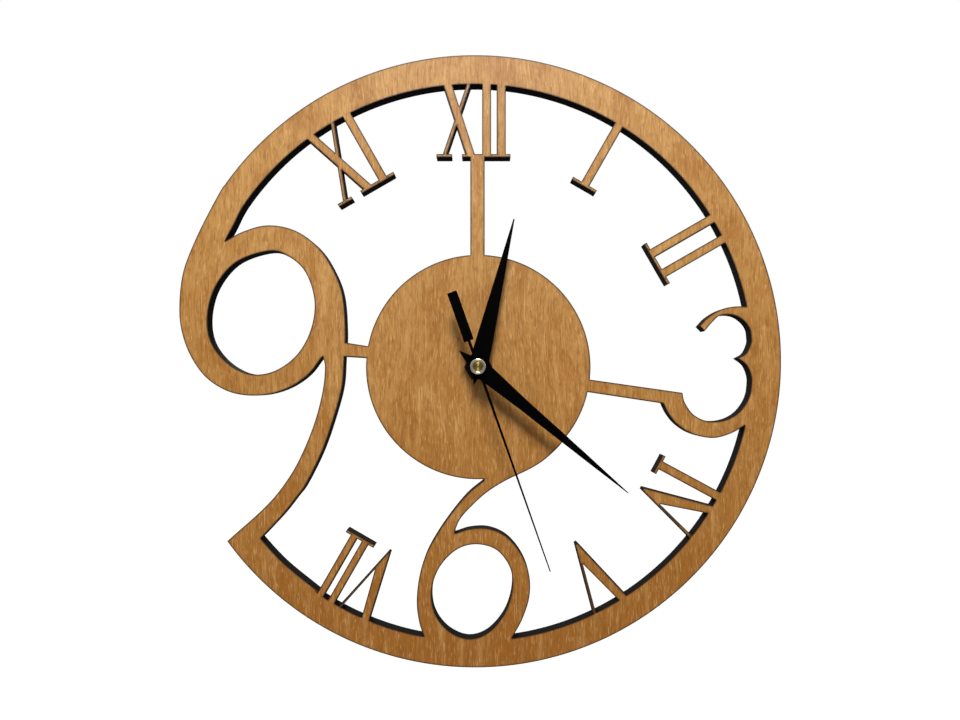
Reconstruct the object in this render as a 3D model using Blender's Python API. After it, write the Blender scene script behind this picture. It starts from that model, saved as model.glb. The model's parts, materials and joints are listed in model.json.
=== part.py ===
"""A wooden wall clock: a plywood dial cut out in one piece, three hands and the quartz movement behind it.

Metres, +Z up. The dial faces -Y. The hand axis is the line x = z = 0 and the wall is the plane y = 0.
A depth is a distance out from the wall, towards -Y. A plan outline is seen from the front, as (x, z).
"""

import math

import bmesh
import bpy
from mathutils import Vector
from mathutils.geometry import delaunay_2d_cdt

# Plywood dial
RING_RADIUS = 0.150
RIM_WIDTH = 0.01365
DISC_RADIUS = 0.0550
PLY_THICKNESS = 0.006
STEM_WIDTH = 0.0044
NARROW_STEM_WIDTH = 0.0036
HAIRLINE_WIDTH = 0.0020
SERIF_WIDTH = 0.0016

# Hands
HOUR_LENGTH = 0.0732
HOUR_TAIL = 0.0093
HOUR_WIDTH = 0.0088
MINUTE_LENGTH = 0.0939
MINUTE_TAIL = 0.0121
MINUTE_WIDTH = 0.0084
HAND_THICKNESS = 0.0005
COLLAR_HEIGHT = 0.0006
COLLAR_WALL = 0.0006
SECOND_LENGTH = 0.1032
SECOND_TAIL = 0.0375
SECOND_THICKNESS = 0.0004
NEEDLE_WIDTH = 0.0014
NEEDLE_TIP_WIDTH = 0.0006
COUNTERWEIGHT_LENGTH = 0.0246
COUNTERWEIGHT_WIDTH = 0.0048
SECOND_PAD_RADIUS = 0.0026
BOSS_RADIUS = 0.0037
BOSS_HEIGHT = 0.0013
BOSS_STEM_RADIUS = 0.0011
BOSS_STEM_LENGTH = 0.0008
HOUR_ANGLE = 13.65
MINUTE_ANGLE = 130.1
SECOND_ANGLE = 160.6

# Arbors, from the hand axis outwards
SECOND_ARBOR_RADIUS = 0.0005
MINUTE_ARBOR_RADIUS = 0.0016
HOUR_TUBE_RADIUS = 0.0025
BUSH_RADIUS = 0.0040
PIVOT_RADIUS = 0.0004
TUBE_PROUD = 0.0002
HAND_CLEARANCE = 0.0013
HAND_STEP = 0.0023

# Mounting on the dial
GASKET_THICKNESS = 0.0010
GASKET_RADIUS = 0.0110
NUT_THICKNESS = 0.0020
NUT_ACROSS_FLATS = 0.0120
BUSH_PROUD = 0.0014
BUSH_FLANGE_RADIUS = 0.0055
BUSH_FLANGE_THICKNESS = 0.0010
THREAD_PITCH = 0.0009
THREAD_DEPTH = 0.0003

# Battery and case
BATTERY_LENGTH = 0.0505
BATTERY_DIAMETER = 0.0140
BATTERY_NUB_LENGTH = 0.0010
BATTERY_NUB_RADIUS = 0.00275
BATTERY_EDGE = 0.0008
BATTERY_INSET = 0.0006
SPRING_ROOM = 0.0021
CONTACT_THICKNESS = 0.0004
CONTACT_WIDTH = 0.0050
CASE_WALL = 0.0012
CASE_FRONT = 0.0011
CASE_CORNER = 0.0030
COVER_THICKNESS = 0.0012
COVER_LIP = 0.0014
COVER_LIP_WALL = 0.0008
HANGER_WIDTH = 0.0220
HANGER_HEIGHT = 0.0115
HANGER_THICKNESS = 0.0024
KNOB_RADIUS = 0.0050
KNOB_THICKNESS = 0.0017
KNOB_SHAFT_RADIUS = 0.0009
KNOB_GRIPS = 12
POST_RADIUS = 0.0012
BEARING_RADIUS = 0.0011
STUD_RADIUS = 0.0007

# Works
WHEEL_THICKNESS = 0.0007
PLATE_THICKNESS = 0.0008
PINION_OVERHANG = 0.0002
MAGNET_THICKNESS = 0.0030
LAMINATION = 0.0008
CORE_WIDTH = 0.0022
BOBBIN_WALL = 0.0006
WINDING_DEPTH = 0.0015
BOARD_THICKNESS = 0.0010
CHIP_SIDE = 0.0040
CHIP_HEIGHT = 0.0010
CRYSTAL_RADIUS = 0.0010
CRYSTAL_LENGTH = 0.0060

# Clearances
GAP = 0.0003
RUNNING_GAP = 0.00008
FIT_GAP = 0.0001
WELD = 0.0000001

# Facets round a circle, steps round a corner and along a curve, and the angles that count as sharp and flat
FINE = 32
ROUND = 24
SMALL = 12
CORNER_STEPS = 4
CURVE_STEPS = 4
SHARP_ANGLE = math.radians(33)
FLAT_ANGLE = math.radians(0.2)

# Teeth, as shares of the module and, for the width, of the pitch
TIP_SHARE = 0.70
ROOT_SHARE = 1.20
TOOTH_WIDTH_SHARE = 0.40
FLANK_SHARE = 0.30
TEETH = {
    "rotor_pinion": 12, "intermediate_wheel": 60, "intermediate_pinion": 10, "second_wheel": 60,
    "second_pinion": 8, "third_wheel": 60, "third_pinion": 8, "centre_wheel": 64,
    "cannon_pinion": 12, "motion_wheel": 36, "motion_pinion": 10, "hour_wheel": 40, "knob_pinion": 12,
}

# Depths of the board and the contacts, as shares of the room between the cover and the case's front
BOARD_LEVEL_SHARE = 0.569
CONTACT_LEVEL_SHARE = 0.292

# Places of the works in plan, as shares of the case's width. An arbor has what it is reached from, how far
# and at what bearing.
ARBOR_SHARES = {
    "third": ("hands", 0.152, 150),
    "intermediate": ("hands", 0.1286, 40),
    "rotor": ("intermediate", 0.1071, 50),
    "motion": ("hands", 0.150, -20),
    "knob": ("motion", 0.150, -5),
}
POST_PLACE_SHARES = ((-0.26, -0.14), (0.43, -0.14), (-0.19, 0.26), (0.40, 0.062))
BOARD_CORNER_SHARES = ((-0.460, -0.178), (-0.304, 0.241))
BOARD_POST_SHARES = ((-0.382, -0.150), (-0.382, 0.205))
CHIP_PLACE_SHARES = (-0.382, 0.060)
CRYSTAL_PLACE_SHARES = (-0.340, -0.085)
PLATE_CORNER_SHARES = ((-0.289, -0.171), (0.457, 0.293))
FLOOR_SHARE = 0.1964
MAGNET_RADIUS_SHARE = 0.051
STATOR_BORE_SHARE = 0.059
STATOR_RING_SHARE = 0.089
STATOR_LEG_SHARES = ((-0.277, -0.223), (0.330, 0.384))
STATOR_BAR_SHARE = 0.043
COIL_SPAN_SHARES = (-0.179, 0.286)
COIL_HEIGHT_SHARE = 0.384
HANGER_OUTLINE_SHARES = ((-0.5, 0.0), (0.5, 0.0), (0.42, 0.55), (0.20, 1.0), (-0.20, 1.0), (-0.42, 0.55))
HANGER_EYE_SHARES = ((-0.27, 0.16), (0.27, 0.16), (0.115, 0.74), (-0.115, 0.74))

# The dial's outline in plan, as shares of the ring's radius
RIM_CENTRE_SHARES = (-0.0110, 0.0188)
BORE_CENTRE_SHARES = (-0.0148, 0.0146)
RIM_START_BEARING = -56
BORE_START_BEARING = -66
RIM_STEPS = 116
TAIL_TIP_SHARES = (-0.817, -0.566)
NINE_LEFT_SHARES = (
    (-0.8250, 0.5985), (-0.8402, 0.5785), (-0.888, 0.490), (-0.931, 0.400), (-0.964, 0.310), (-0.976, 0.213),
    (-0.971, 0.127), (-0.941, 0.039), (-0.887, -0.036), (-0.807, -0.083), (-0.713, -0.093),
    (-0.627, -0.072), (-0.557, -0.027), (-0.508, 0.035),
)
NINE_TAIL_LEFT_SHARES = (
    (-0.508, 0.035), (-0.501, 0.000), (-0.507, -0.070), (-0.529, -0.163), (-0.564, -0.257),
    (-0.612, -0.351), (-0.687, -0.448), (-0.817, -0.566),
)
RIM_END_SHARES = ((-0.567, -0.747), (-0.519, -0.7346), (-0.616, -0.657), (-0.665, -0.610))
NINE_TAIL_RIGHT_SHARES = (
    (-0.7101, -0.5596), (-0.6845, -0.533), (-0.6354, -0.4797), (-0.5937, -0.4264), (-0.563, -0.384),
    (-0.511, -0.279), (-0.473, -0.171), (-0.444, -0.063), (-0.437, 0.033),
)
NINE_RIGHT_SHARES = (
    (-0.437, 0.033), (-0.433, 0.113), (-0.442, 0.232), (-0.473, 0.317), (-0.523, 0.392),
    (-0.599, 0.446), (-0.687, 0.463), (-0.767, 0.443), (-0.827, 0.411),
)
NINE_INNER_CORNER_SHARES = ((-0.7992, 0.4622), (-0.7823, 0.4979), (-0.7571, 0.5421))
NINE_HOLE_SHARES = (
    (-0.680, 0.379), (-0.616, 0.359), (-0.563, 0.307), (-0.535, 0.216), (-0.547, 0.123),
    (-0.591, 0.042), (-0.664, -0.012), (-0.744, -0.023), (-0.820, 0.015), (-0.873, 0.085),
    (-0.883, 0.173), (-0.855, 0.267), (-0.787, 0.344),
)
SIX_LEFT_SHARES = (
    (0.017, -0.371), (-0.033, -0.412), (-0.084, -0.472), (-0.133, -0.542), (-0.171, -0.612),
    (-0.193, -0.687), (-0.201, -0.767), (-0.193, -0.833), (-0.176, -0.884),
)
SIX_FOOT_SHARES = ((-0.167, -0.927), (0.100, -0.927))
SIX_RIGHT_SHARES = (
    (0.111, -0.884), (0.144, -0.823), (0.167, -0.750), (0.166, -0.677), (0.140, -0.609),
    (0.092, -0.553), (0.033, -0.527), (-0.027, -0.528), (-0.076, -0.543),
)
SIX_STROKE_SHARES = (
    (-0.076, -0.543), (-0.073, -0.527), (-0.056, -0.492), (-0.011, -0.4435), (0.035, -0.4045),
    (0.093, -0.369), (0.1541, -0.3403), (0.1868, -0.3227), (0.2194, -0.3002), (0.2619, -0.2607), (0.290, -0.224),
)
SIX_ROOT_SHARES = (0.067, -0.267)
SIX_HOLE_SHARES = (
    (-0.007, -0.579), (0.060, -0.598), (0.104, -0.657), (0.110, -0.727), (0.085, -0.805),
    (0.031, -0.867), (-0.033, -0.887), (-0.099, -0.859), (-0.143, -0.799), (-0.151, -0.724),
    (-0.125, -0.652), (-0.071, -0.597),
)
THREE_ARM_SHARES = ((0.267, -0.028), (0.366, -0.041))
THREE_LOW_SHARES = (
    (0.667, -0.084), (0.675, -0.116), (0.703, -0.155), (0.747, -0.176), (0.801, -0.174),
    (0.849, -0.149), (0.883, -0.100), (0.892, -0.042), (0.877, 0.004), (0.847, 0.029),
)
THREE_HIGH_SHARES = (
    (0.847, 0.029), (0.876, 0.048), (0.892, 0.093), (0.879, 0.137), (0.841, 0.167),
    (0.793, 0.169), (0.767, 0.149), (0.739, 0.117),
)
THREE_TOP_SHARES = ((0.722, 0.134), (0.750, 0.163), (0.793, 0.188), (0.840, 0.198), (0.893, 0.197))
THREE_BACK_SHARES = ((0.913, 0.0), (0.893, -0.180))
THREE_OUT_SHARES = (
    (0.873, -0.189), (0.827, -0.216), (0.767, -0.232), (0.700, -0.219), (0.651, -0.189),
    (0.621, -0.153), (0.604, -0.119),
)
THREE_ARM_UNDER_SHARES = ((0.360, -0.082), (0.267, -0.068))
TWELVE_ARM_SHARES = ((-0.026, 0.267), (0.021, 0.267), (0.021, 0.693), (-0.026, 0.693))
NINE_ARM_SHARES = ((-0.300, 0.059), (-0.453, 0.083), (-0.453, 0.035), (-0.300, 0.026))

# The Roman numerals, each turned to its bearing. Straight strokes give the foot across, the foot out and the
# head across; serifs their two ends across and how far out; wedges are the strokes that end in a point.
NUMERAL_SHARES = (
    {
        "bearing": -30,
        "stems": ((0.038, 0.687, 0.0395), (-0.0183, 0.687, -0.1046)),
        "hairlines": ((-0.1067, 0.687, -0.0076),),
        "serifs": ((-0.0467, 0.0787, 0.681), (-0.132, -0.0807, 0.680)),
    },
    {
        "bearing": 0,
        "stems": ((0.0273, 0.690, 0.0273), (0.0753, 0.690, 0.0753), (-0.024, 0.690, -0.1074)),
        "hairlines": ((-0.1113, 0.690, -0.0237),),
        "serifs": ((-0.0533, 0.1053, 0.6853), (-0.1367, -0.086, 0.6853)),
    },
    {"bearing": 30, "stems": ((0.0037, 0.686, 0.0025),), "serifs": ((-0.0427, 0.0473, 0.683),)},
    {
        "bearing": 60,
        "stems": ((-0.038, 0.674, -0.038), (0.037, 0.674, 0.0377)),
        "serifs": ((-0.0773, 0.076, 0.669),),
    },
    {
        "bearing": 118.3,
        "stems": ((0.0, 0.672, 0.0),),
        "serifs": ((-0.0333, 0.0327, 0.667),),
        "wedges": (
            ((0.0907, 0.6627), (0.100, 0.6627), (0.1146, 0.729), (0.0493, 0.940), (0.0244, 0.940)),
            ((0.092, 0.6627), (0.100, 0.6627), (0.1845, 0.940), (0.1721, 0.940)),
        ),
    },
    {
        "bearing": 150,
        "wedges": (
            ((0.0073, 0.660), (0.016, 0.660), (0.0277, 0.722), (-0.0301, 0.940), (-0.0581, 0.940)),
            ((0.0073, 0.660), (0.016, 0.660), (0.0923, 0.940), (0.0823, 0.940)),
        ),
    },
    {
        "bearing": 210,
        "narrow_stems": ((0.0747, 0.677, 0.0747), (0.0333, 0.677, 0.0326)),
        "serifs": ((0.0013, 0.106, 0.6727),),
        "wedges": (
            ((-0.0547, 0.6693), (-0.048, 0.6693), (-0.0357, 0.732), (-0.0893, 0.940), (-0.1159, 0.940)),
            ((-0.0533, 0.6693), (-0.048, 0.6693), (0.0103, 0.940), (0.0029, 0.940)),
        ),
    },
)
STROKE_REACH_SHARE = 0.6

# The boss's dished outline, as shares of its radius and its height, and how deep the knob's grip notches are
BOSS_OUTLINE_SHARES = (
    (1.0, 0.0), (1.0, 0.60), (0.95, 0.85), (0.82, 1.0),
    (0.72, 0.92), (0.45, 0.66), (0.28, 0.86), (0.0, 0.90),
)
KNOB_NOTCH_SHARE = 0.93

# The hands' half outlines: along the hand as a share of its length, and across as a share of its half width
HOUR_OUTLINE_SHARES = ((0.05, 1.0), (0.13, 0.99), (0.197, 0.92), (0.658, 0.43), (1.0, 0.07))
MINUTE_OUTLINE_SHARES = (
    (0.01, 1.0), (0.05, 0.99), (0.152, 0.845), (0.306, 0.655), (0.509, 0.50), (0.712, 0.333), (1.0, 0.05),
)

# Finishes: colour, roughness, metallic
PLY = ((0.45, 0.25, 0.10), 0.55, 0.0)
BLACK_PAINT = ((0.008, 0.008, 0.009), 0.30, 0.0)
BRASS = ((0.72, 0.56, 0.28), 0.25, 1.0)
BLACK_STEEL = ((0.03, 0.03, 0.032), 0.35, 0.8)
STEEL = ((0.55, 0.56, 0.58), 0.30, 1.0)
BLACK_PLASTIC = ((0.012, 0.012, 0.013), 0.45, 0.0)
RUBBER = ((0.010, 0.010, 0.010), 0.80, 0.0)
WHITE_PLASTIC = ((0.75, 0.75, 0.72), 0.40, 0.0)
COPPER = ((0.75, 0.32, 0.16), 0.30, 1.0)
BOARD_GREEN = ((0.02, 0.12, 0.05), 0.45, 0.0)
CELL_WRAP = ((0.10, 0.16, 0.32), 0.35, 0.0)
MAGNET_GREY = ((0.10, 0.10, 0.11), 0.40, 0.6)

# Depths that follow from the sizes above
CASE_DEPTH = BATTERY_INSET + BATTERY_DIAMETER + GAP + CASE_FRONT
ROOM_START = COVER_THICKNESS
ROOM_END = CASE_DEPTH - CASE_FRONT
ROOM = ROOM_END - ROOM_START
WHEEL_STEP = 2 * WHEEL_THICKNESS
LEVEL = {"second": ROOM_START + WHEEL_STEP}
LEVEL["third"] = LEVEL["second"] + WHEEL_STEP
LEVEL["intermediate"] = LEVEL["third"] + WHEEL_STEP
LEVEL["plate"] = LEVEL["intermediate"] + WHEEL_THICKNESS + PINION_OVERHANG + GAP
PLATE_END = LEVEL["plate"] + PLATE_THICKNESS
LEVEL["centre"] = PLATE_END + 2 * GAP
LEVEL["motion"] = LEVEL["centre"] + WHEEL_STEP
LEVEL["hour"] = LEVEL["motion"] + WHEEL_STEP + PINION_OVERHANG
LEVEL["board"] = ROOM_START + BOARD_LEVEL_SHARE * ROOM
LEVEL["contacts"] = ROOM_START + CONTACT_LEVEL_SHARE * ROOM
PIVOT_START = ROOM_START + GAP
GASKET_START = CASE_DEPTH + GAP
PLY_START = GASKET_START + GASKET_THICKNESS + GAP
PLY_END = PLY_START + PLY_THICKNESS
NUT_START = PLY_END + GAP
BUSH_END = NUT_START + NUT_THICKNESS + BUSH_PROUD
HOUR_START = BUSH_END + HAND_CLEARANCE
MINUTE_START = HOUR_START + HAND_STEP
SECOND_START = MINUTE_START + HAND_STEP
BOSS_START = SECOND_START + SECOND_THICKNESS + GAP

# Plan sizes that follow from the sizes above
CASE_WIDTH = BATTERY_LENGTH + 2 * CASE_WALL + 2 * GAP + CONTACT_THICKNESS + SPRING_ROOM
CASE_RIGHT = CASE_WIDTH / 2
INNER_RIGHT = CASE_RIGHT - CASE_WALL
CASE_TOP = CASE_WIDTH / 2
BAY_FLOOR = -FLOOR_SHARE * CASE_WIDTH
BATTERY_BAY_TOP = BAY_FLOOR - CASE_WALL
BATTERY_BAY_BOTTOM = BATTERY_BAY_TOP - BATTERY_DIAMETER - 2 * GAP
CASE_BOTTOM = BATTERY_BAY_BOTTOM - CASE_WALL
BATTERY_HEIGHT = (BATTERY_BAY_TOP + BATTERY_BAY_BOTTOM) / 2
BATTERY_LEFT = -INNER_RIGHT + CONTACT_THICKNESS + 2 * GAP
BATTERY_DEPTH = BATTERY_INSET + BATTERY_DIAMETER / 2
COVER_EDGE = (BAY_FLOOR + BATTERY_BAY_TOP) / 2


def clear_scene():
    for obj in list(bpy.data.objects):
        bpy.data.objects.remove(obj, do_unlink=True)


def material(name, colour, roughness, metallic):
    made = bpy.data.materials.new(name)
    made.use_nodes = True
    shader = made.node_tree.nodes["Principled BSDF"]
    shader.inputs["Base Color"].default_value = (*colour, 1)
    shader.inputs["Roughness"].default_value = roughness
    shader.inputs["Metallic"].default_value = metallic
    return made


def finished(name, bm, finish, place, turn):
    """Turns the mesh into a named piece standing at a plan place, with its own material."""
    bmesh.ops.recalc_face_normals(bm, faces=bm.faces)
    mesh = bpy.data.meshes.new(name)
    bm.to_mesh(mesh)
    bm.free()
    mesh.shade_smooth()
    mesh.set_sharp_from_angle(angle=SHARP_ANGLE)
    mesh.materials.append(material(name, *finish))
    piece = bpy.data.objects.new(name, mesh)
    piece.location = (place[0], 0, place[1])
    piece.rotation_euler = turn
    bpy.context.collection.objects.link(piece)
    return piece


def anticlockwise(outline):
    pairs = zip(outline, outline[1:] + outline[:1])
    return outline if sum(a[0] * b[1] - b[0] * a[1] for a, b in pairs) > 0 else outline[::-1]


def layered(name, finish, layers, place=(0, 0), turn=(0, 0, 0)):
    """A piece made of flat layers, from the wall outwards, each starting where the last one ended.

    A layer is (start, end, solid, hollow) or (start, end, solid, hollow, standing, drilled), with lists
    of outlines. It holds what lies in a solid one and in no hollow one, and what stands in a hollow less
    what is drilled out of it. All the outlines are cut into one set of triangles, so the layers share
    their corners.
    """
    outlines = []
    for _, _, *groups in layers:
        outlines += [outline for group in groups for outline in group if outline not in outlines]
    points = [Vector(point) for outline in outlines for point in anticlockwise(outline)]
    ends = [0]
    for outline in outlines:
        ends.append(ends[-1] + len(outline))
    loops = [list(range(first, last)) for first, last in zip(ends, ends[1:])]
    corners, _, triangles, _, _, owners = delaunay_2d_cdt(points, [], loops, 0, WELD)

    filled = [set()]
    for _, _, *groups in layers:
        solid, hollow, *inner = [{outlines.index(outline) for outline in group} for group in groups]
        standing, drilled = inner or (set(), set())
        filled.append({
            k for k, own in enumerate(map(set, owners))
            if (own & solid and not own & hollow) or (own & standing and not own & drilled)
        })
    filled.append(set())
    depths = [layers[0][0]] + [layer[1] for layer in layers]

    bm = bmesh.new()
    made = {}

    def corner(index, plane):
        if (index, plane) not in made:
            across, up = corners[index]
            made[index, plane] = bm.verts.new((across, -depths[plane], up))
        return made[index, plane]

    for plane in range(len(depths)):
        for k in filled[plane] ^ filled[plane + 1]:
            bm.faces.new([corner(index, plane) for index in triangles[k]])
    for plane in range(len(layers)):
        edges = set()
        for k in filled[plane + 1]:
            edges |= set(zip(triangles[k], triangles[k][1:] + triangles[k][:1]))
        for a, b in edges:
            if (b, a) not in edges:
                ends = (plane + 1, plane)
                bm.faces.new([corner(a, k) for k in ends] + [corner(b, k) for k in ends[::-1]])
    bmesh.ops.dissolve_limit(bm, angle_limit=FLAT_ANGLE, verts=bm.verts, edges=bm.edges)
    return finished(name, bm, finish, place, turn)


def spun(name, finish, profile, place=(0, 0), pose=(0, 0, 0), facets=ROUND):
    """A turned piece on the axis y: the profile is (radius, depth) along its outside, and is closed."""
    bm = bmesh.new()
    verts = [bm.verts.new((radius, -depth, 0)) for radius, depth in profile]
    closing = [] if profile[0][0] == 0 else [(verts[-1], verts[0])]
    edges = [bm.edges.new(pair) for pair in (*zip(verts, verts[1:]), *closing)]
    turn = 2 * math.pi
    line = verts + edges
    bmesh.ops.spin(bm, geom=line, cent=(0, 0, 0), axis=(0, 1, 0), angle=turn, steps=facets, use_merge=True)
    bmesh.ops.remove_doubles(bm, verts=bm.verts, dist=WELD)
    return finished(name, bm, finish, place, pose)


def around(radius, facets=ROUND, place=(0, 0), first=0.0):
    """A circle's outline, anticlockwise in plan."""
    turns = [first + 2 * math.pi * k / facets for k in range(facets)]
    return [(place[0] + radius * math.cos(turn), place[1] + radius * math.sin(turn)) for turn in turns]


def oblong(left, right, bottom, top):
    return [(left, bottom), (right, bottom), (right, top), (left, top)]


def rounded(left, right, bottom, top, radius, square=0):
    """An oblong with rounded corners, anticlockwise from the upper right, the first ones left square."""
    corners = ((right, top), (left, top), (left, bottom), (right, bottom))
    inward = ((-1, -1), (1, -1), (1, 1), (-1, 1))
    outline = list(corners[:square])
    for quarter in range(square, 4):
        corner, way = corners[quarter], inward[quarter]
        centre = (corner[0] + way[0] * radius, corner[1] + way[1] * radius)
        for step in range(CORNER_STEPS + 1):
            turn = math.pi / 2 * (quarter + step / CORNER_STEPS)
            outline.append((centre[0] + radius * math.cos(turn), centre[1] + radius * math.sin(turn)))
    return outline


def scaled(shares, size):
    return [(across * size, up * size) for across, up in shares]


def flowing(points, closed=False):
    """A smooth line through the points, in short steps."""
    points = [Vector(point) for point in points]
    if closed:
        points = [points[-1], *points, *points[:2]]
    else:
        points = [2 * points[0] - points[1], *points, 2 * points[-1] - points[-2]]
    line = []
    for before, start, end, after in zip(points, points[1:], points[2:], points[3:]):
        for step in range(CURVE_STEPS):
            t = step / CURVE_STEPS
            even = 2 * start + (end - before) * t
            bend = (2 * before - 5 * start + 4 * end - after) * t ** 2
            twist = (3 * start - before - 3 * end + after) * t ** 3
            line.append(tuple((even + bend + twist) / 2))
    return line if closed else line + [tuple(points[-2])]


def bearing_arc(centre, radius, start, end, steps):
    """Points on a circle between two bearings, clockwise from twelve, in degrees."""
    turns = [math.radians(start + (end - start) * step / steps) for step in range(steps + 1)]
    return [(centre[0] + radius * math.sin(turn), centre[1] + radius * math.cos(turn)) for turn in turns]


def on_dial(shares, closed=None):
    """Points of the dial from their shares, as a smooth line where closed is given."""
    points = scaled(shares, RING_RADIUS)
    return points if closed is None else flowing(points, closed)


def rim():
    """The ring, open at the lower left between the nine's tail and its own end."""
    centre = on_dial([RIM_CENTRE_SHARES])[0]
    bore_centre = on_dial([BORE_CENTRE_SHARES])[0]
    tip = on_dial([TAIL_TIP_SHARES])[0]
    end = math.degrees(math.atan2(tip[0] - centre[0], tip[1] - centre[1])) % 360
    outer = bearing_arc(centre, RING_RADIUS, RIM_START_BEARING, end, RIM_STEPS)
    inner = bearing_arc(bore_centre, RING_RADIUS - RIM_WIDTH, BORE_START_BEARING, end, RIM_STEPS)
    return outer + inner[::-1]


def nine():
    left = on_dial(NINE_LEFT_SHARES, closed=False)[:-1] + on_dial(NINE_TAIL_LEFT_SHARES, closed=False)
    right = on_dial(NINE_TAIL_RIGHT_SHARES, closed=False)[:-1] + on_dial(NINE_RIGHT_SHARES, closed=False)
    return left + on_dial(RIM_END_SHARES) + right + on_dial(NINE_INNER_CORNER_SHARES)


def six():
    bowl = on_dial(SIX_FOOT_SHARES) + on_dial(SIX_RIGHT_SHARES, closed=False)[:-1]
    stroke = on_dial(SIX_STROKE_SHARES, closed=False) + on_dial([SIX_ROOT_SHARES])
    return on_dial(SIX_LEFT_SHARES, closed=False) + bowl + stroke


def three():
    inner = on_dial(THREE_LOW_SHARES, closed=False)[:-1] + on_dial(THREE_HIGH_SHARES, closed=False)
    outer = on_dial(THREE_TOP_SHARES, closed=False) + on_dial(THREE_BACK_SHARES)
    under = on_dial(THREE_OUT_SHARES, closed=False) + on_dial(THREE_ARM_UNDER_SHARES)
    return on_dial(THREE_ARM_SHARES) + inner + outer + under


def stroke(foot_across, foot_out, head_across, width, reach):
    """A straight stroke from its foot out into the ring."""
    near = (foot_across * RING_RADIUS, foot_out * RING_RADIUS)
    far = (head_across * RING_RADIUS, reach)
    half = width / 2
    left, right = (near[0] - half, near[1]), (near[0] + half, near[1])
    return [left, right, (far[0] + half, far[1]), (far[0] - half, far[1])]


def numeral(shares):
    """The strokes of one numeral, turned to its bearing."""
    reach = RING_RADIUS - STROKE_REACH_SHARE * RIM_WIDTH
    strokes = [stroke(*line, STEM_WIDTH, reach) for line in shares.get("stems", ())]
    strokes += [stroke(*line, NARROW_STEM_WIDTH, reach) for line in shares.get("narrow_stems", ())]
    strokes += [stroke(*line, HAIRLINE_WIDTH, reach) for line in shares.get("hairlines", ())]
    for left, right, out in shares.get("serifs", ()):
        start = out * RING_RADIUS
        strokes.append(oblong(left * RING_RADIUS, right * RING_RADIUS, start, start + SERIF_WIDTH))
    strokes += [on_dial(wedge) for wedge in shares.get("wedges", ())]
    turn = math.radians(shares["bearing"])
    sine, cosine = math.sin(turn), math.cos(turn)
    return [[(u * cosine + v * sine, v * cosine - u * sine) for u, v in line] for line in strokes]


def plywood_dial():
    solid = [rim(), nine(), six(), three(), around(DISC_RADIUS, 2 * FINE)]
    solid += [on_dial(TWELVE_ARM_SHARES), on_dial(NINE_ARM_SHARES)]
    for shares in NUMERAL_SHARES:
        solid += numeral(shares)
    hollow = [on_dial(NINE_HOLE_SHARES, closed=True), on_dial(SIX_HOLE_SHARES, closed=True)]
    hollow.append(around(BUSH_RADIUS + GAP))
    layered("plywood_dial", PLY, [(PLY_START, PLY_END, solid, hollow)])


def hand(name, outline_shares, length, tail, width, bore, start, angle):
    """A pressed metal hand: a blade with a pointed tail, on a collar that grips its tube."""
    half = [(across * width / 2, along * length) for along, across in outline_shares]
    blade = [(0, -tail), *half, *[(-across, along) for across, along in half[::-1]]]
    hole = around(bore)
    collar = around(bore + COLLAR_WALL)
    layers = [
        (start - COLLAR_HEIGHT, start, [collar], [hole]),
        (start, start + HAND_THICKNESS, [blade], [hole]),
    ]
    layered(name, BLACK_PAINT, layers, turn=(0, math.radians(angle), 0))


def hands():
    bore = HOUR_TUBE_RADIUS + FIT_GAP
    hand("hour_hand", HOUR_OUTLINE_SHARES, HOUR_LENGTH, HOUR_TAIL, HOUR_WIDTH, bore, HOUR_START, HOUR_ANGLE)
    bore = MINUTE_ARBOR_RADIUS + FIT_GAP
    hand(
        "minute_hand", MINUTE_OUTLINE_SHARES, MINUTE_LENGTH, MINUTE_TAIL, MINUTE_WIDTH, bore, MINUTE_START,
        MINUTE_ANGLE,
    )


def second_hand():
    """The second hand's needle, its counterweight and the turned boss that holds it."""
    needle = NEEDLE_WIDTH / 2
    tip = NEEDLE_TIP_WIDTH / 2
    weight = COUNTERWEIGHT_WIDTH / 2
    weight_end = COUNTERWEIGHT_LENGTH - SECOND_TAIL
    blade = [
        (-weight, -SECOND_TAIL), (weight, -SECOND_TAIL), (weight, weight_end), (needle, weight_end),
        (needle, 0), (tip, SECOND_LENGTH), (-tip, SECOND_LENGTH), (-needle, 0), (-needle, weight_end),
        (-weight, weight_end),
    ]
    pad = around(SECOND_PAD_RADIUS)
    hole = around(BOSS_STEM_RADIUS + GAP)
    layers = [(SECOND_START, SECOND_START + SECOND_THICKNESS, [blade, pad], [hole])]
    layered("second_hand", BLACK_PAINT, layers, turn=(0, math.radians(SECOND_ANGLE), 0))

    bore = SECOND_ARBOR_RADIUS + FIT_GAP
    stem_start = SECOND_START - BOSS_STEM_LENGTH
    profile = [
        (0, BOSS_START + GAP), (bore, BOSS_START + GAP), (bore, stem_start), (BOSS_STEM_RADIUS, stem_start),
        (BOSS_STEM_RADIUS, BOSS_START),
    ]
    profile += [(out * BOSS_RADIUS, BOSS_START + up * BOSS_HEIGHT) for out, up in BOSS_OUTLINE_SHARES]
    spun("second_hand_boss", BRASS, profile, facets=FINE)


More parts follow.
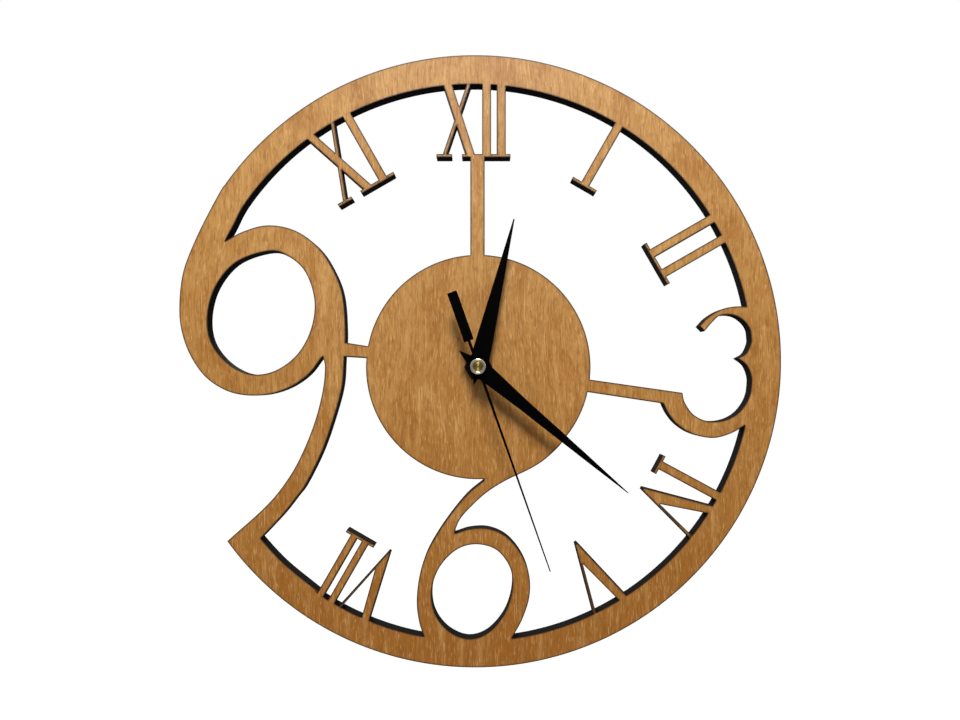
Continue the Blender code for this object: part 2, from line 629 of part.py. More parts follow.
def mounting():
    """The threaded bush, its nut and the rubber washer behind the dial."""
    bore = HOUR_TUBE_RADIUS + RUNNING_GAP
    flange_end = ROOM_END - GAP
    flange_start = flange_end - BUSH_FLANGE_THICKNESS
    profile = [(bore, flange_start), (BUSH_FLANGE_RADIUS, flange_start)]
    profile += [(BUSH_FLANGE_RADIUS, flange_end), (BUSH_RADIUS, flange_end)]
    ridges = int((BUSH_END - PLY_END) / THREAD_PITCH)
    for ridge in range(ridges):
        start = BUSH_END - (ridges - ridge) * THREAD_PITCH
        profile += [(BUSH_RADIUS, start), (BUSH_RADIUS - THREAD_DEPTH, start + THREAD_PITCH / 2)]
    profile += [(BUSH_RADIUS - THREAD_DEPTH, BUSH_END), (bore, BUSH_END)]
    spun("threaded_bush", STEEL, profile)

    corners = NUT_ACROSS_FLATS / 2 / math.cos(math.pi / 6)
    nut = around(corners, 6)
    thread = around(BUSH_RADIUS + FIT_GAP)
    layered("hex_nut", BLACK_STEEL, [(NUT_START, NUT_START + NUT_THICKNESS, [nut], [thread])])
    washer = around(GASKET_RADIUS)
    hole = around(BUSH_RADIUS + GAP)
    layers = [(GASKET_START, GASKET_START + GASKET_THICKNESS, [washer], [hole])]
    layered("rubber_washer", RUBBER, layers)


def arbor_places():
    """Where each arbor stands in plan."""
    places = {"hands": (0, 0)}
    for name, (start, reach, bearing) in ARBOR_SHARES.items():
        turn = math.radians(bearing)
        x, z = places[start]
        places[name] = (x + reach * CASE_WIDTH * math.cos(turn), z + reach * CASE_WIDTH * math.sin(turn))
    return places


PLACE = arbor_places()


def gear(name, module, phase=0.0):
    """A toothed outline: each tooth is a trapezium, with one tooth's middle at the phase."""
    teeth = TEETH[name]
    pitch_radius = module * teeth / 2
    root = pitch_radius - ROOT_SHARE * module
    tip = pitch_radius + TIP_SHARE * module
    half_width = TOOTH_WIDTH_SHARE * math.pi * module / 2
    root_turn = (half_width + ROOT_SHARE * FLANK_SHARE * module) / root
    tip_turn = (half_width - TIP_SHARE * FLANK_SHARE * module) / tip
    outline = []
    for tooth in range(teeth):
        middle = phase + 2 * math.pi * tooth / teeth
        for radius, turn in ((root, -root_turn), (tip, -tip_turn), (tip, tip_turn), (root, root_turn)):
            outline.append((radius * math.cos(middle + turn), radius * math.sin(middle + turn)))
    return outline


def mesh_of(driver, driven, start, end, driver_phase=0.0):
    """The outlines of two gears in mesh between two arbors, and the driven one's phase."""
    reach = Vector(PLACE[end]) - Vector(PLACE[start])
    module = 2 * reach.length / (TEETH[driver] + TEETH[driven])
    bearing = math.atan2(reach.y, reach.x)
    ratio = TEETH[driver] / TEETH[driven]
    phase = bearing + math.pi + math.pi / TEETH[driven] - (driver_phase - bearing) * ratio
    return gear(driver, module, driver_phase), gear(driven, module, phase), phase


def seconds_train():
    """From the rotor to the centre wheel, which the slipping clutch joins to the minute arbor."""
    second, intermediate_pinion, _ = mesh_of("second_wheel", "intermediate_pinion", "hands", "intermediate")
    intermediate, rotor, _ = mesh_of("intermediate_wheel", "rotor_pinion", "intermediate", "rotor")
    second_pinion, third, _ = mesh_of("second_pinion", "third_wheel", "hands", "third")
    third_pinion, centre, _ = mesh_of("third_pinion", "centre_wheel", "third", "hands")
    pivot = around(PIVOT_RADIUS, SMALL)
    pin = around(SECOND_ARBOR_RADIUS, SMALL)

    layers = [
        (PIVOT_START, LEVEL["second"], [pivot], []),
        (LEVEL["second"], LEVEL["second"] + WHEEL_THICKNESS, [second], []),
        (LEVEL["second"] + WHEEL_THICKNESS, LEVEL["third"] + WHEEL_THICKNESS + GAP, [second_pinion], []),
        (LEVEL["third"] + WHEEL_THICKNESS + GAP, BOSS_START, [pin], []),
    ]
    layered("second_wheel", STEEL, layers)

    layers = [
        (PIVOT_START, LEVEL["second"] - PINION_OVERHANG, [pivot], []),
        (LEVEL["second"] - PINION_OVERHANG, LEVEL["intermediate"], [intermediate_pinion], []),
        (LEVEL["intermediate"], LEVEL["intermediate"] + WHEEL_THICKNESS, [intermediate], []),
        (LEVEL["intermediate"] + WHEEL_THICKNESS, PLATE_END - PINION_OVERHANG, [pivot], []),
    ]
    layered("intermediate_wheel", WHITE_PLASTIC, layers, PLACE["intermediate"])

    magnet_end = PLATE_END + GAP + MAGNET_THICKNESS
    pinion_start = LEVEL["intermediate"] - GAP
    pinion_end = LEVEL["intermediate"] + WHEEL_THICKNESS + PINION_OVERHANG
    layers = [
        (PIVOT_START, pinion_start, [pivot], []),
        (pinion_start, pinion_end, [rotor], []),
        (pinion_end, magnet_end + GAP + BEARING_RADIUS, [pivot], []),
    ]
    layered("rotor_pinion", WHITE_PLASTIC, layers, PLACE["rotor"])
    magnet = around(MAGNET_RADIUS_SHARE * CASE_WIDTH)
    layers = [(PLATE_END + GAP, magnet_end, [magnet], [around(PIVOT_RADIUS + FIT_GAP, SMALL)])]
    layered("rotor_magnet", MAGNET_GREY, layers, PLACE["rotor"])

    pinion_end = LEVEL["centre"] + WHEEL_THICKNESS + PINION_OVERHANG
    layers = [
        (PIVOT_START, LEVEL["second"], [pivot], []),
        (LEVEL["second"], LEVEL["third"], [pin], []),
        (LEVEL["third"], LEVEL["third"] + WHEEL_THICKNESS, [third], []),
        (LEVEL["third"] + WHEEL_THICKNESS, pinion_end, [third_pinion], []),
        (pinion_end, pinion_end + GAP + BEARING_RADIUS, [pivot], []),
    ]
    layered("third_wheel", WHITE_PLASTIC, layers, PLACE["third"])

    bore = around(MINUTE_ARBOR_RADIUS + RUNNING_GAP)
    layers = [(LEVEL["centre"], LEVEL["centre"] + WHEEL_THICKNESS, [centre], [bore])]
    layered("centre_wheel", WHITE_PLASTIC, layers)


def motion_work():
    """From the minute arbor to the hour wheel, and the knob that sets the hands."""
    cannon, motion, phase = mesh_of("cannon_pinion", "motion_wheel", "hands", "motion")
    _, knob_pinion, _ = mesh_of("motion_wheel", "knob_pinion", "motion", "knob", phase)
    motion_pinion, hour, _ = mesh_of("motion_pinion", "hour_wheel", "motion", "hands")
    arbor = around(MINUTE_ARBOR_RADIUS)
    bore = around(SECOND_ARBOR_RADIUS + RUNNING_GAP, SMALL)
    pivot = around(PIVOT_RADIUS, SMALL)
    cannon_start = LEVEL["centre"] + WHEEL_THICKNESS + GAP
    cannon_end = LEVEL["motion"] + WHEEL_THICKNESS + PINION_OVERHANG

    layers = [
        (PLATE_END + GAP, cannon_start, [arbor], [bore]),
        (cannon_start, cannon_end, [cannon], [bore]),
        (cannon_end, MINUTE_START + HAND_THICKNESS + TUBE_PROUD, [arbor], [bore]),
    ]
    layered("minute_arbor", STEEL, layers)

    stud_hole = around(STUD_RADIUS + RUNNING_GAP, SMALL)
    wheel_end = LEVEL["motion"] + WHEEL_THICKNESS
    layers = [
        (LEVEL["motion"], wheel_end, [motion], [stud_hole]),
        (wheel_end, LEVEL["hour"] + WHEEL_THICKNESS + GAP, [motion_pinion], [stud_hole]),
    ]
    layered("motion_wheel", WHITE_PLASTIC, layers, PLACE["motion"])

    tube = around(HOUR_TUBE_RADIUS)
    bore = around(MINUTE_ARBOR_RADIUS + RUNNING_GAP)
    layers = [
        (LEVEL["hour"], LEVEL["hour"] + WHEEL_THICKNESS, [hour], [bore]),
        (LEVEL["hour"] + WHEEL_THICKNESS, HOUR_START + HAND_THICKNESS + TUBE_PROUD, [tube], [bore]),
    ]
    layered("hour_wheel", WHITE_PLASTIC, layers)

    shaft = around(KNOB_SHAFT_RADIUS)
    pinion_start = LEVEL["motion"] - PINION_OVERHANG
    layers = [
        (GAP, GAP + KNOB_THICKNESS, [knob_outline()], []),
        (GAP + KNOB_THICKNESS, pinion_start, [shaft], []),
        (pinion_start, cannon_end, [knob_pinion], []),
        (cannon_end, cannon_end + GAP + BEARING_RADIUS, [pivot], []),
    ]
    layered("setting_knob", BLACK_PLASTIC, layers, PLACE["knob"])


def knob_outline():
    """A round knob with grip notches."""
    outline = []
    for grip in range(KNOB_GRIPS):
        for step, share in enumerate((1, 1, KNOB_NOTCH_SHARE, KNOB_NOTCH_SHARE)):
            turn = 2 * math.pi * (grip + step / 4) / KNOB_GRIPS
            outline.append((share * KNOB_RADIUS * math.cos(turn), share * KNOB_RADIUS * math.sin(turn)))
    return outline


def at_places(shares):
    return scaled(shares, CASE_WIDTH)


def front_case():
    """The case: a box with a room for the works above a room for the battery, and its posts and bearings."""
    outer = rounded(-CASE_RIGHT, CASE_RIGHT, CASE_BOTTOM, CASE_TOP, CASE_CORNER)
    lower = rounded(-CASE_RIGHT, CASE_RIGHT, CASE_BOTTOM, COVER_EDGE - GAP / 2, CASE_CORNER, square=2)
    works = rounded(-INNER_RIGHT, INNER_RIGHT, BAY_FLOOR, CASE_TOP - CASE_WALL, CASE_CORNER - CASE_WALL)
    cell = rounded(-INNER_RIGHT, INNER_RIGHT, BATTERY_BAY_BOTTOM, BATTERY_BAY_TOP, CASE_CORNER - CASE_WALL)
    slot = CONTACT_THICKNESS + 2 * GAP
    slots = [
        oblong(-INNER_RIGHT, -INNER_RIGHT + slot, BATTERY_BAY_TOP - CASE_CORNER, BAY_FLOOR + CASE_CORNER),
        oblong(INNER_RIGHT - slot, INNER_RIGHT, BATTERY_BAY_TOP - CASE_CORNER, BAY_FLOOR + CASE_CORNER),
    ]
    rooms = [works, cell]
    posts = [around(POST_RADIUS, SMALL, place) for place in at_places(POST_PLACE_SHARES)]
    board_posts = [around(POST_RADIUS, SMALL, place) for place in at_places(BOARD_POST_SHARES)]
    stud = around(STUD_RADIUS, SMALL, PLACE["motion"])
    shoulder = around(STUD_RADIUS + BOBBIN_WALL, SMALL, PLACE["motion"])
    bearings = {name: around(BEARING_RADIUS, SMALL, PLACE[name]) for name in ("third", "rotor", "knob")}
    holes = {name: around(PIVOT_RADIUS + RUNNING_GAP, SMALL, PLACE[name]) for name in bearings}
    seats = {
        "third": LEVEL["centre"] + WHEEL_THICKNESS + PINION_OVERHANG + GAP,
        "rotor": PLATE_END + GAP + MAGNET_THICKNESS + GAP,
        "knob": LEVEL["motion"] + WHEEL_THICKNESS + PINION_OVERHANG + GAP,
    }
    stud_start = LEVEL["motion"] - GAP
    shoulder_start = LEVEL["hour"] + WHEEL_THICKNESS + 2 * GAP
    board_start = LEVEL["board"] + BOARD_THICKNESS + GAP
    slot_end = LEVEL["contacts"] + CONTACT_WIDTH + GAP

    starts = {ROOM_START + GAP, PLATE_END + GAP, stud_start, shoulder_start, board_start, slot_end}
    starts |= set(seats.values())
    starts |= {seat + BEARING_RADIUS + GAP for seat in seats.values()}
    depths = [*sorted(starts), ROOM_END]
    layers = [(0, ROOM_START + GAP, [lower], [cell])]
    for start, end in zip(depths, depths[1:]):
        pillars = list(posts) if start >= PLATE_END + GAP else []
        pillars += board_posts if start >= board_start else []
        pillars += [stud] if start >= stud_start else []
        pillars += [shoulder] if start >= shoulder_start else []
        drilled = []
        for name, seat in seats.items():
            pillars += [bearings[name]] if start >= seat else []
            drilled += [holes[name]] if seat <= start < seat + BEARING_RADIUS + GAP else []
        open_slots = slots if start < slot_end else []
        layers.append((start, end, [outer], rooms + open_slots, pillars, drilled))
    layers.append((ROOM_END, CASE_DEPTH, [outer], [around(BUSH_RADIUS + GAP)]))
    layered("movement_case", BLACK_PLASTIC, layers)


def rear_cover():
    """The cover over the works, with its lip, bearings, posts and the loop that the clock hangs by."""
    top = CASE_TOP
    plate = rounded(-CASE_RIGHT, CASE_RIGHT, COVER_EDGE + GAP / 2, top, CASE_CORNER)
    loop_bottom = top + GAP
    loop = [
        (across * HANGER_WIDTH, loop_bottom + up * HANGER_HEIGHT) for across, up in HANGER_OUTLINE_SHARES
    ]
    neck = oblong(-HANGER_WIDTH / 2, HANGER_WIDTH / 2, top - CASE_CORNER, loop_bottom)
    eye = [(across * HANGER_WIDTH, loop_bottom + up * HANGER_HEIGHT) for across, up in HANGER_EYE_SHARES]
    inset = INNER_RIGHT - GAP
    lip_top = CASE_TOP - CASE_WALL - GAP
    lip_floor = BAY_FLOOR + GAP
    lip = rounded(-inset, inset, lip_floor, lip_top, CASE_CORNER - CASE_WALL)
    wall = COVER_LIP_WALL
    lip_room = rounded(
        -inset + wall, inset - wall, lip_floor + wall, lip_top - wall, CASE_CORNER - CASE_WALL - wall / 2,
    )
    knob_hole = around(KNOB_RADIUS + GAP, FINE, PLACE["knob"])
    names = ("hands", "third", "intermediate", "rotor")
    bearings = [around(BEARING_RADIUS, SMALL, PLACE[name]) for name in names]
    holes = [around(PIVOT_RADIUS + RUNNING_GAP, SMALL, PLACE[name]) for name in names]
    posts = [around(POST_RADIUS, SMALL, place) for place in at_places(POST_PLACE_SHARES)]
    bearing_end = LEVEL["second"] - PINION_OVERHANG - GAP
    steps = sorted({
        (COVER_THICKNESS, "cover"), (bearing_end, "bearings"), (HANGER_THICKNESS, "loop"),
        (COVER_THICKNESS + COVER_LIP, "lip"), (LEVEL["plate"] - GAP, "posts"),
    })
    layers = []
    for (start, _), (end, _) in zip(steps, steps[1:]):
        solid = [loop] if end <= HANGER_THICKNESS else []
        solid += [lip] if end <= COVER_THICKNESS + COVER_LIP else []
        standing = posts + (bearings if end <= bearing_end else [])
        layers.append((start, end, solid, [eye, lip_room], standing, holes))
    layers.insert(0, (0, COVER_THICKNESS, [plate, neck, loop], [eye, knob_hole]))
    layered("rear_cover", BLACK_PLASTIC, layers)


def gear_plate():
    """The plate that carries the front pivots of the seconds train."""
    (left, bottom), (right, top) = at_places(PLATE_CORNER_SHARES)
    module = 2 * ARBOR_SHARES["third"][1] * CASE_WIDTH / (TEETH["third_pinion"] + TEETH["centre_wheel"])
    pinion_tip = module * (TEETH["third_pinion"] / 2 + TIP_SHARE)
    holes = [
        around(SECOND_ARBOR_RADIUS + RUNNING_GAP, SMALL), around(pinion_tip + GAP, SMALL, PLACE["third"]),
        around(PIVOT_RADIUS + RUNNING_GAP, SMALL, PLACE["intermediate"]),
        around(PIVOT_RADIUS + RUNNING_GAP, SMALL, PLACE["rotor"]),
        around(KNOB_SHAFT_RADIUS + RUNNING_GAP, ROUND, PLACE["knob"]),
    ]
    outline = rounded(left, right, bottom, top, CASE_CORNER)
    layers = [(LEVEL["plate"], PLATE_END, [outline], holes)]
    layered("gear_plate", WHITE_PLASTIC, layers)


def motor():
    """The stator, its core, and the coil on its bobbin."""
    rotor = PLACE["rotor"]
    stator_start = LEVEL["centre"] + WHEEL_THICKNESS + GAP
    core_start = stator_start - GAP - LAMINATION
    bar = STATOR_BAR_SHARE * CASE_WIDTH / 2
    coil_height = COIL_HEIGHT_SHARE * CASE_WIDTH
    core_top = coil_height + CORE_WIDTH / 2
    legs = [oblong(left, right, rotor[1] - bar, core_top) for left, right in at_places(STATOR_LEG_SHARES)]
    far_left = STATOR_LEG_SHARES[0][0] * CASE_WIDTH
    far_right = STATOR_LEG_SHARES[1][1] * CASE_WIDTH
    solid = [
        *legs, oblong(far_left, far_right, rotor[1] - bar, rotor[1] + bar),
        around(STATOR_RING_SHARE * CASE_WIDTH, ROUND, rotor),
    ]
    hollow = [around(STATOR_BORE_SHARE * CASE_WIDTH, ROUND, rotor)]
    layered("stator_plate", STEEL, [(stator_start, stator_start + LAMINATION, solid, hollow)])
    core = oblong(far_left, far_right, coil_height - CORE_WIDTH / 2, core_top)
    layered("coil_core", STEEL, [(core_start, core_start + LAMINATION, [core], [])])

    middle = core_start + LAMINATION / 2
    left, right = at_places([COIL_SPAN_SHARES])[0]
    half_hole = LAMINATION / 2 + GAP
    hole = oblong(-half_hole, half_hole, -CORE_WIDTH / 2 - GAP, CORE_WIDTH / 2 + GAP)
    tube_radius = math.hypot(half_hole, CORE_WIDTH / 2 + GAP) + BOBBIN_WALL / 2
    winding_radius = tube_radius + GAP + WINDING_DEPTH
    tube = around(tube_radius)
    flange = around(winding_radius + GAP)
    layers = [
        (left, left + BOBBIN_WALL, [flange], [hole]),
        (left + BOBBIN_WALL, right - BOBBIN_WALL, [tube], [hole]),
        (right - BOBBIN_WALL, right, [flange], [hole]),
    ]
    along_x = (0, 0, math.pi / 2)
    bobbin = layered("coil_bobbin", WHITE_PLASTIC, layers, (0, coil_height), along_x)
    outer, inner = around(winding_radius), around(tube_radius + GAP)
    layers = [(left + BOBBIN_WALL + GAP, right - BOBBIN_WALL - GAP, [outer], [inner])]
    winding = layered("coil_winding", COPPER, layers, (0, coil_height), along_x)
    for piece in (bobbin, winding):
        piece.location.y = -middle


def electronics():
    """The circuit board with its driver chip and quartz crystal."""
    (left, bottom), (right, top) = at_places(BOARD_CORNER_SHARES)
    board = oblong(left, right, bottom, top)
    start = LEVEL["board"]
    layered("circuit_board", BOARD_GREEN, [(start, start + BOARD_THICKNESS, [board], [])])
    half = CHIP_SIDE / 2
    chip = [(start - GAP - CHIP_HEIGHT, start - GAP, [oblong(-half, half, -half, half)], [])]
    layered("driver_chip", BLACK_PLASTIC, chip, at_places([CHIP_PLACE_SHARES])[0])
    can = [(0, -CRYSTAL_LENGTH / 2), (CRYSTAL_RADIUS, -CRYSTAL_LENGTH / 2)]
    can += [(CRYSTAL_RADIUS, CRYSTAL_LENGTH / 2), (0, CRYSTAL_LENGTH / 2)]
    upright = (math.radians(-90), 0, 0)
    crystal = spun("quartz_crystal", STEEL, can, at_places([CRYSTAL_PLACE_SHARES])[0], upright, SMALL)
    crystal.location.y = -(start - GAP - CRYSTAL_RADIUS)


def battery():
    """The cell, lying along x with its positive end to the left."""
    radius = BATTERY_DIAMETER / 2
    body = BATTERY_LENGTH - BATTERY_NUB_LENGTH
    profile = [
        (0, 0), (radius - BATTERY_EDGE, 0), (radius, BATTERY_EDGE), (radius, body - BATTERY_EDGE),
        (radius - BATTERY_EDGE, body), (BATTERY_NUB_RADIUS, body), (BATTERY_NUB_RADIUS, BATTERY_LENGTH),
        (0, BATTERY_LENGTH),
    ]
    towards_left = (0, 0, math.radians(-90))
    right_end = BATTERY_LEFT + BATTERY_LENGTH
    cell = spun("battery", CELL_WRAP, profile, (right_end, BATTERY_HEIGHT), towards_left, FINE)
    cell.location.y = -BATTERY_DEPTH


def ribbon(points, width):
    """The outline of a bent strip, with mitred corners, along a plan line."""
    points = [Vector(point) for point in points]
    ways = [(after - before).normalized() for before, after in zip(points, points[1:])]
    sides = []
    for point, before, after in zip(points, [ways[0], *ways], [*ways, ways[-1]]):
        mitre = (before.orthogonal() + after.orthogonal()).normalized()
        sides.append((point, mitre * (width / 2) / mitre.dot(before.orthogonal())))
    there = [tuple(point - side) for point, side in sides]
    return there + [tuple(point + side) for point, side in sides[::-1]]


def contacts():
    """The two sheet-metal contacts: a flat one at the positive end and a sprung one at the negative end."""
    half = CONTACT_THICKNESS / 2
    start, end = LEVEL["contacts"], LEVEL["contacts"] + CONTACT_WIDTH
    left = -INNER_RIGHT + GAP
    low = BATTERY_BAY_BOTTOM + CASE_CORNER
    high = BAY_FLOOR + CASE_CORNER
    strip = oblong(left, left + CONTACT_THICKNESS, low, high)
    layered("positive_contact", STEEL, [(start, end, [strip], [])])

    tongue = BATTERY_LEFT + BATTERY_LENGTH + GAP + half
    wall = INNER_RIGHT - GAP - half
    run = BAY_FLOOR + GAP + half
    board_right = BOARD_CORNER_SHARES[1][0] * CASE_WIDTH
    path = [
        (tongue, BATTERY_HEIGHT), (wall, BATTERY_BAY_TOP - CASE_CORNER), (wall, run), (board_right, run),
    ]
    layered("negative_contact", STEEL, [(start, end, [ribbon(path, CONTACT_THICKNESS)], [])])


def build():
    clear_scene()
    plywood_dial()
    hands()
    second_hand()
    mounting()
    seconds_train()
    motion_work()
    front_case()
    rear_cover()
    gear_plate()
    motor()
    electronics()
    battery()
    contacts()


if __name__ == "__main__":
    build()
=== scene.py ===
# %% [markdown]
# # A wall clock with a dial cut out of plywood
#
# The clock is a sheet of stained birch plywood, cut by a laser into an open ring with a large nine, six and
# three and fine Roman numerals. Three black hands turn in front of it, and a quartz movement sits behind.
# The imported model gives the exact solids, so this lesson dresses them: wood with a burnt edge, satin paint,
# turned brass, blackened steel and moulded plastic, then the light and camera of a plain product photograph.

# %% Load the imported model
import json
import math

import bmesh
import bpy
import numpy as np
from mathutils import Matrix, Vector
from mathutils.geometry import delaunay_2d_cdt

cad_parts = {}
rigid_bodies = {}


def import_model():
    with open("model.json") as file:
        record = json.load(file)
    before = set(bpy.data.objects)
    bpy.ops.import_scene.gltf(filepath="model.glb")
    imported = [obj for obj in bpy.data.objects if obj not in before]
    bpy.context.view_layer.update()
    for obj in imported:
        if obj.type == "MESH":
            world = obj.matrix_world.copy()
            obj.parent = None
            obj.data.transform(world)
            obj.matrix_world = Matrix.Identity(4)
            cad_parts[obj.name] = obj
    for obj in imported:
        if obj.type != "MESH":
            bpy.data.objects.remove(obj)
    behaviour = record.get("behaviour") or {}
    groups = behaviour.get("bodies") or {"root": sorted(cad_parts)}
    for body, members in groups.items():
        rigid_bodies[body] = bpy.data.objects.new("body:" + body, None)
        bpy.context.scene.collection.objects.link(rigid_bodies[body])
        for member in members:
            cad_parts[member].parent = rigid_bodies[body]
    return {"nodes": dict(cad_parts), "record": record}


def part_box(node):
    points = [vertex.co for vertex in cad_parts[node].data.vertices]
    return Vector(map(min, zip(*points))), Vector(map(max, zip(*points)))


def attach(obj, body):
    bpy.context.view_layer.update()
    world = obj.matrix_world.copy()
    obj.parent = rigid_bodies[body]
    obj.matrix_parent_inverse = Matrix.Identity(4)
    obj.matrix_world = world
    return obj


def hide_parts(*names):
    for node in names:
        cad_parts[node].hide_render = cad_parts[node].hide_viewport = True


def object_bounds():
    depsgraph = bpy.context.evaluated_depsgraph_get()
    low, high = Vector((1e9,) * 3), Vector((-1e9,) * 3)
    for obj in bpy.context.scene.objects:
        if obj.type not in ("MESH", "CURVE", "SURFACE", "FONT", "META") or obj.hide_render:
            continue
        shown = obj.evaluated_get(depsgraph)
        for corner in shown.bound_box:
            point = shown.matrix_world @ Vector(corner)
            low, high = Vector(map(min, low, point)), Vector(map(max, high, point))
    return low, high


for leftover in list(bpy.data.objects):
    bpy.data.objects.remove(leftover)
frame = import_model()
cad_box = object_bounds()
nodes = frame["nodes"]
parts_of = frame["record"]["behaviour"]["bodies"]
body_of = {node: body for body, parts in parts_of.items() for node in parts}

MM = 0.001


# %% [markdown]
# ## The camera
#
# The photographer stood close and square to the dial: the inner walls of the ring show all round. The walls
# run towards a point a little right of and below the middle of the picture, so the camera is opposite that
# point, and a small lens shift brings the frame back. The walls' width in the picture gives the distance.

# %% Camera
FRAME_WIDTH_PX = 960
FOCAL_PX = 635
SENSOR_MM = 36
FACE_DISTANCE = 311 * MM
VANISHING_X, VANISHING_Z = 3.3 * MM, -8.3 * MM
SHIFT_RIGHT_PX, SHIFT_UP_PX = -5, 24

dial_low, dial_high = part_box("plywood_dial")
FRONT_Y, BACK_Y = dial_low.y, dial_high.y

lens = bpy.data.cameras.new("camera")
lens.sensor_width = SENSOR_MM
lens.lens = FOCAL_PX / FRAME_WIDTH_PX * SENSOR_MM
lens.shift_x = SHIFT_RIGHT_PX / FRAME_WIDTH_PX
lens.shift_y = SHIFT_UP_PX / FRAME_WIDTH_PX
lens.clip_start = 10 * MM
camera = bpy.data.objects.new("camera", lens)
camera.location = (VANISHING_X, FRONT_Y - FACE_DISTANCE, VANISHING_Z)
camera.rotation_euler = (math.radians(90), 0, 0)
bpy.context.collection.objects.link(camera)
bpy.context.scene.camera = camera
bpy.context.scene.view_settings.view_transform = "Standard"
print("lens", round(lens.lens, 2), "mm at", round(FACE_DISTANCE / MM), "mm from the dial")


# %% [markdown]
# ## Helpers for materials
#
# Colours are easiest to read off a screen as sRGB hex values, but the renderer works in linear light, so one
# function turns them. A material is a chain of nodes, and one small function adds a node, sets it up and
# links its inputs, which keeps each recipe short enough to read at a glance.

# %% Material helpers
def linear(hex_colour):
    """A linear RGBA colour from an sRGB hex value."""
    values = [int(hex_colour[i:i + 2], 16) / 255 for i in (1, 3, 5)]
    return (*[v / 12.92 if v <= 0.04045 else ((v + 0.055) / 1.055) ** 2.4 for v in values], 1)


def wire(node, inputs):
    """Sets a node's inputs: a value stays on the socket, and a node or a socket is linked to it."""
    for name, value in inputs.items():
        by_name = [s for s in node.inputs if s.enabled and s.name == name]
        socket = by_name[0] if by_name else node.inputs[name]
        if isinstance(value, bpy.types.Node):
            value = [s for s in value.outputs if s.enabled][0]
        if isinstance(value, bpy.types.NodeSocket):
            node.id_data.links.new(value, socket)
        else:
            socket.default_value = value


def add(tree, kind, inputs=None, **settings):
    """Adds a node with its settings and its inputs."""
    made = tree.nodes.new("ShaderNode" + kind)
    for name, value in settings.items():
        setattr(made, name, value)
    wire(made, inputs or {})
    return made


def new_material(name, **constants):
    """A material with a bare Principled shader, its constants set on the shader's own sockets."""
    material = bpy.data.materials.new(name)
    material.use_nodes = True
    shader = material.node_tree.nodes["Principled BSDF"]
    wire(shader, {socket.replace("_", " "): value for socket, value in constants.items()})
    place = add(material.node_tree, "TexCoord").outputs["Object"]
    return material, material.node_tree, shader, place


def per_mm(across, deep, along):
    """The scale at which one unit of a pattern has this size in millimetres."""
    return (1 / (across * MM), 1 / (deep * MM), 1 / (along * MM))


MARK_DISTORTION = 0.3


def marked(tree, place, colour, marks):
    """Lays marks over a colour, one after the other.

    A mark is (size in mm, detail, from, to, strength, colour): a noise of that size, which shows as its
    value passes from the one to the other. The last mark's amount comes back with the colour.
    """
    amount = None
    for size, detail, low, high, strength, tint in marks:
        spread = add(tree, "Mapping", {"Vector": place, "Scale": per_mm(*size)})
        noise = add(tree, "TexNoise", {"Vector": spread, "Scale": 1, "Detail": detail,
                                       "Distortion": MARK_DISTORTION})
        amount = add(tree, "MapRange", {"Value": noise, "From Min": low, "From Max": high,
                                        "To Max": strength}, interpolation_type="SMOOTHSTEP")
        colour = add(tree, "Mix", {"Factor": amount, "A": colour, "B": linear(tint)}, data_type="RGBA")
    return colour, amount


# %% [markdown]
# ## Stained birch veneer
#
# The face is a rotary-cut birch veneer under a brown stain. Birch has fine upright fibres, small dark pores,
# and pale flecks and wavy streaks where the grain dips and takes less stain. Each of these is a noise
# stretched along the grain, and its size comes from the real one in millimetres. The colour is painted a
# little darker towards the bottom, as shade where the lamp's light falls off. The laser scorches a thin line
# beside each cut, so the mesh carries its distance to the nearest cut, in millimetres, and the colour darkens
# with it.

# %% Stained birch veneer
GRAIN_DRIFT_MM = 11
GRAIN_SWAY = (30, 30, 70)
EVEN_ABOVE = 60 * MM
PORES = (0.5, 2.0, 2.5)
FIBRES = (0.8, 2.0, 8.0)
FLECKS = (0.55, 2.0, 4.2)
STREAKS = (0.6, 3.0, 22.0)
MOTTLES = (2.2, 4.0, 5.0)
FLAMES = (3.4, 5.0, 42.0)
CLOUDS = (13.0, 13.0, 22.0)
SCORCH_LINE_MM, SCORCH_HALO_MM = 0.6, 1.3
SCORCH_LINE_STRENGTH, SCORCH_HALO_STRENGTH = 0.9, 0.42
SMOKE_PUFFS = (3, 3, 3)
FIBRE_RELIEF_MM = 0.10
VENEER_ROUGHNESS = (0.46, 0.60)


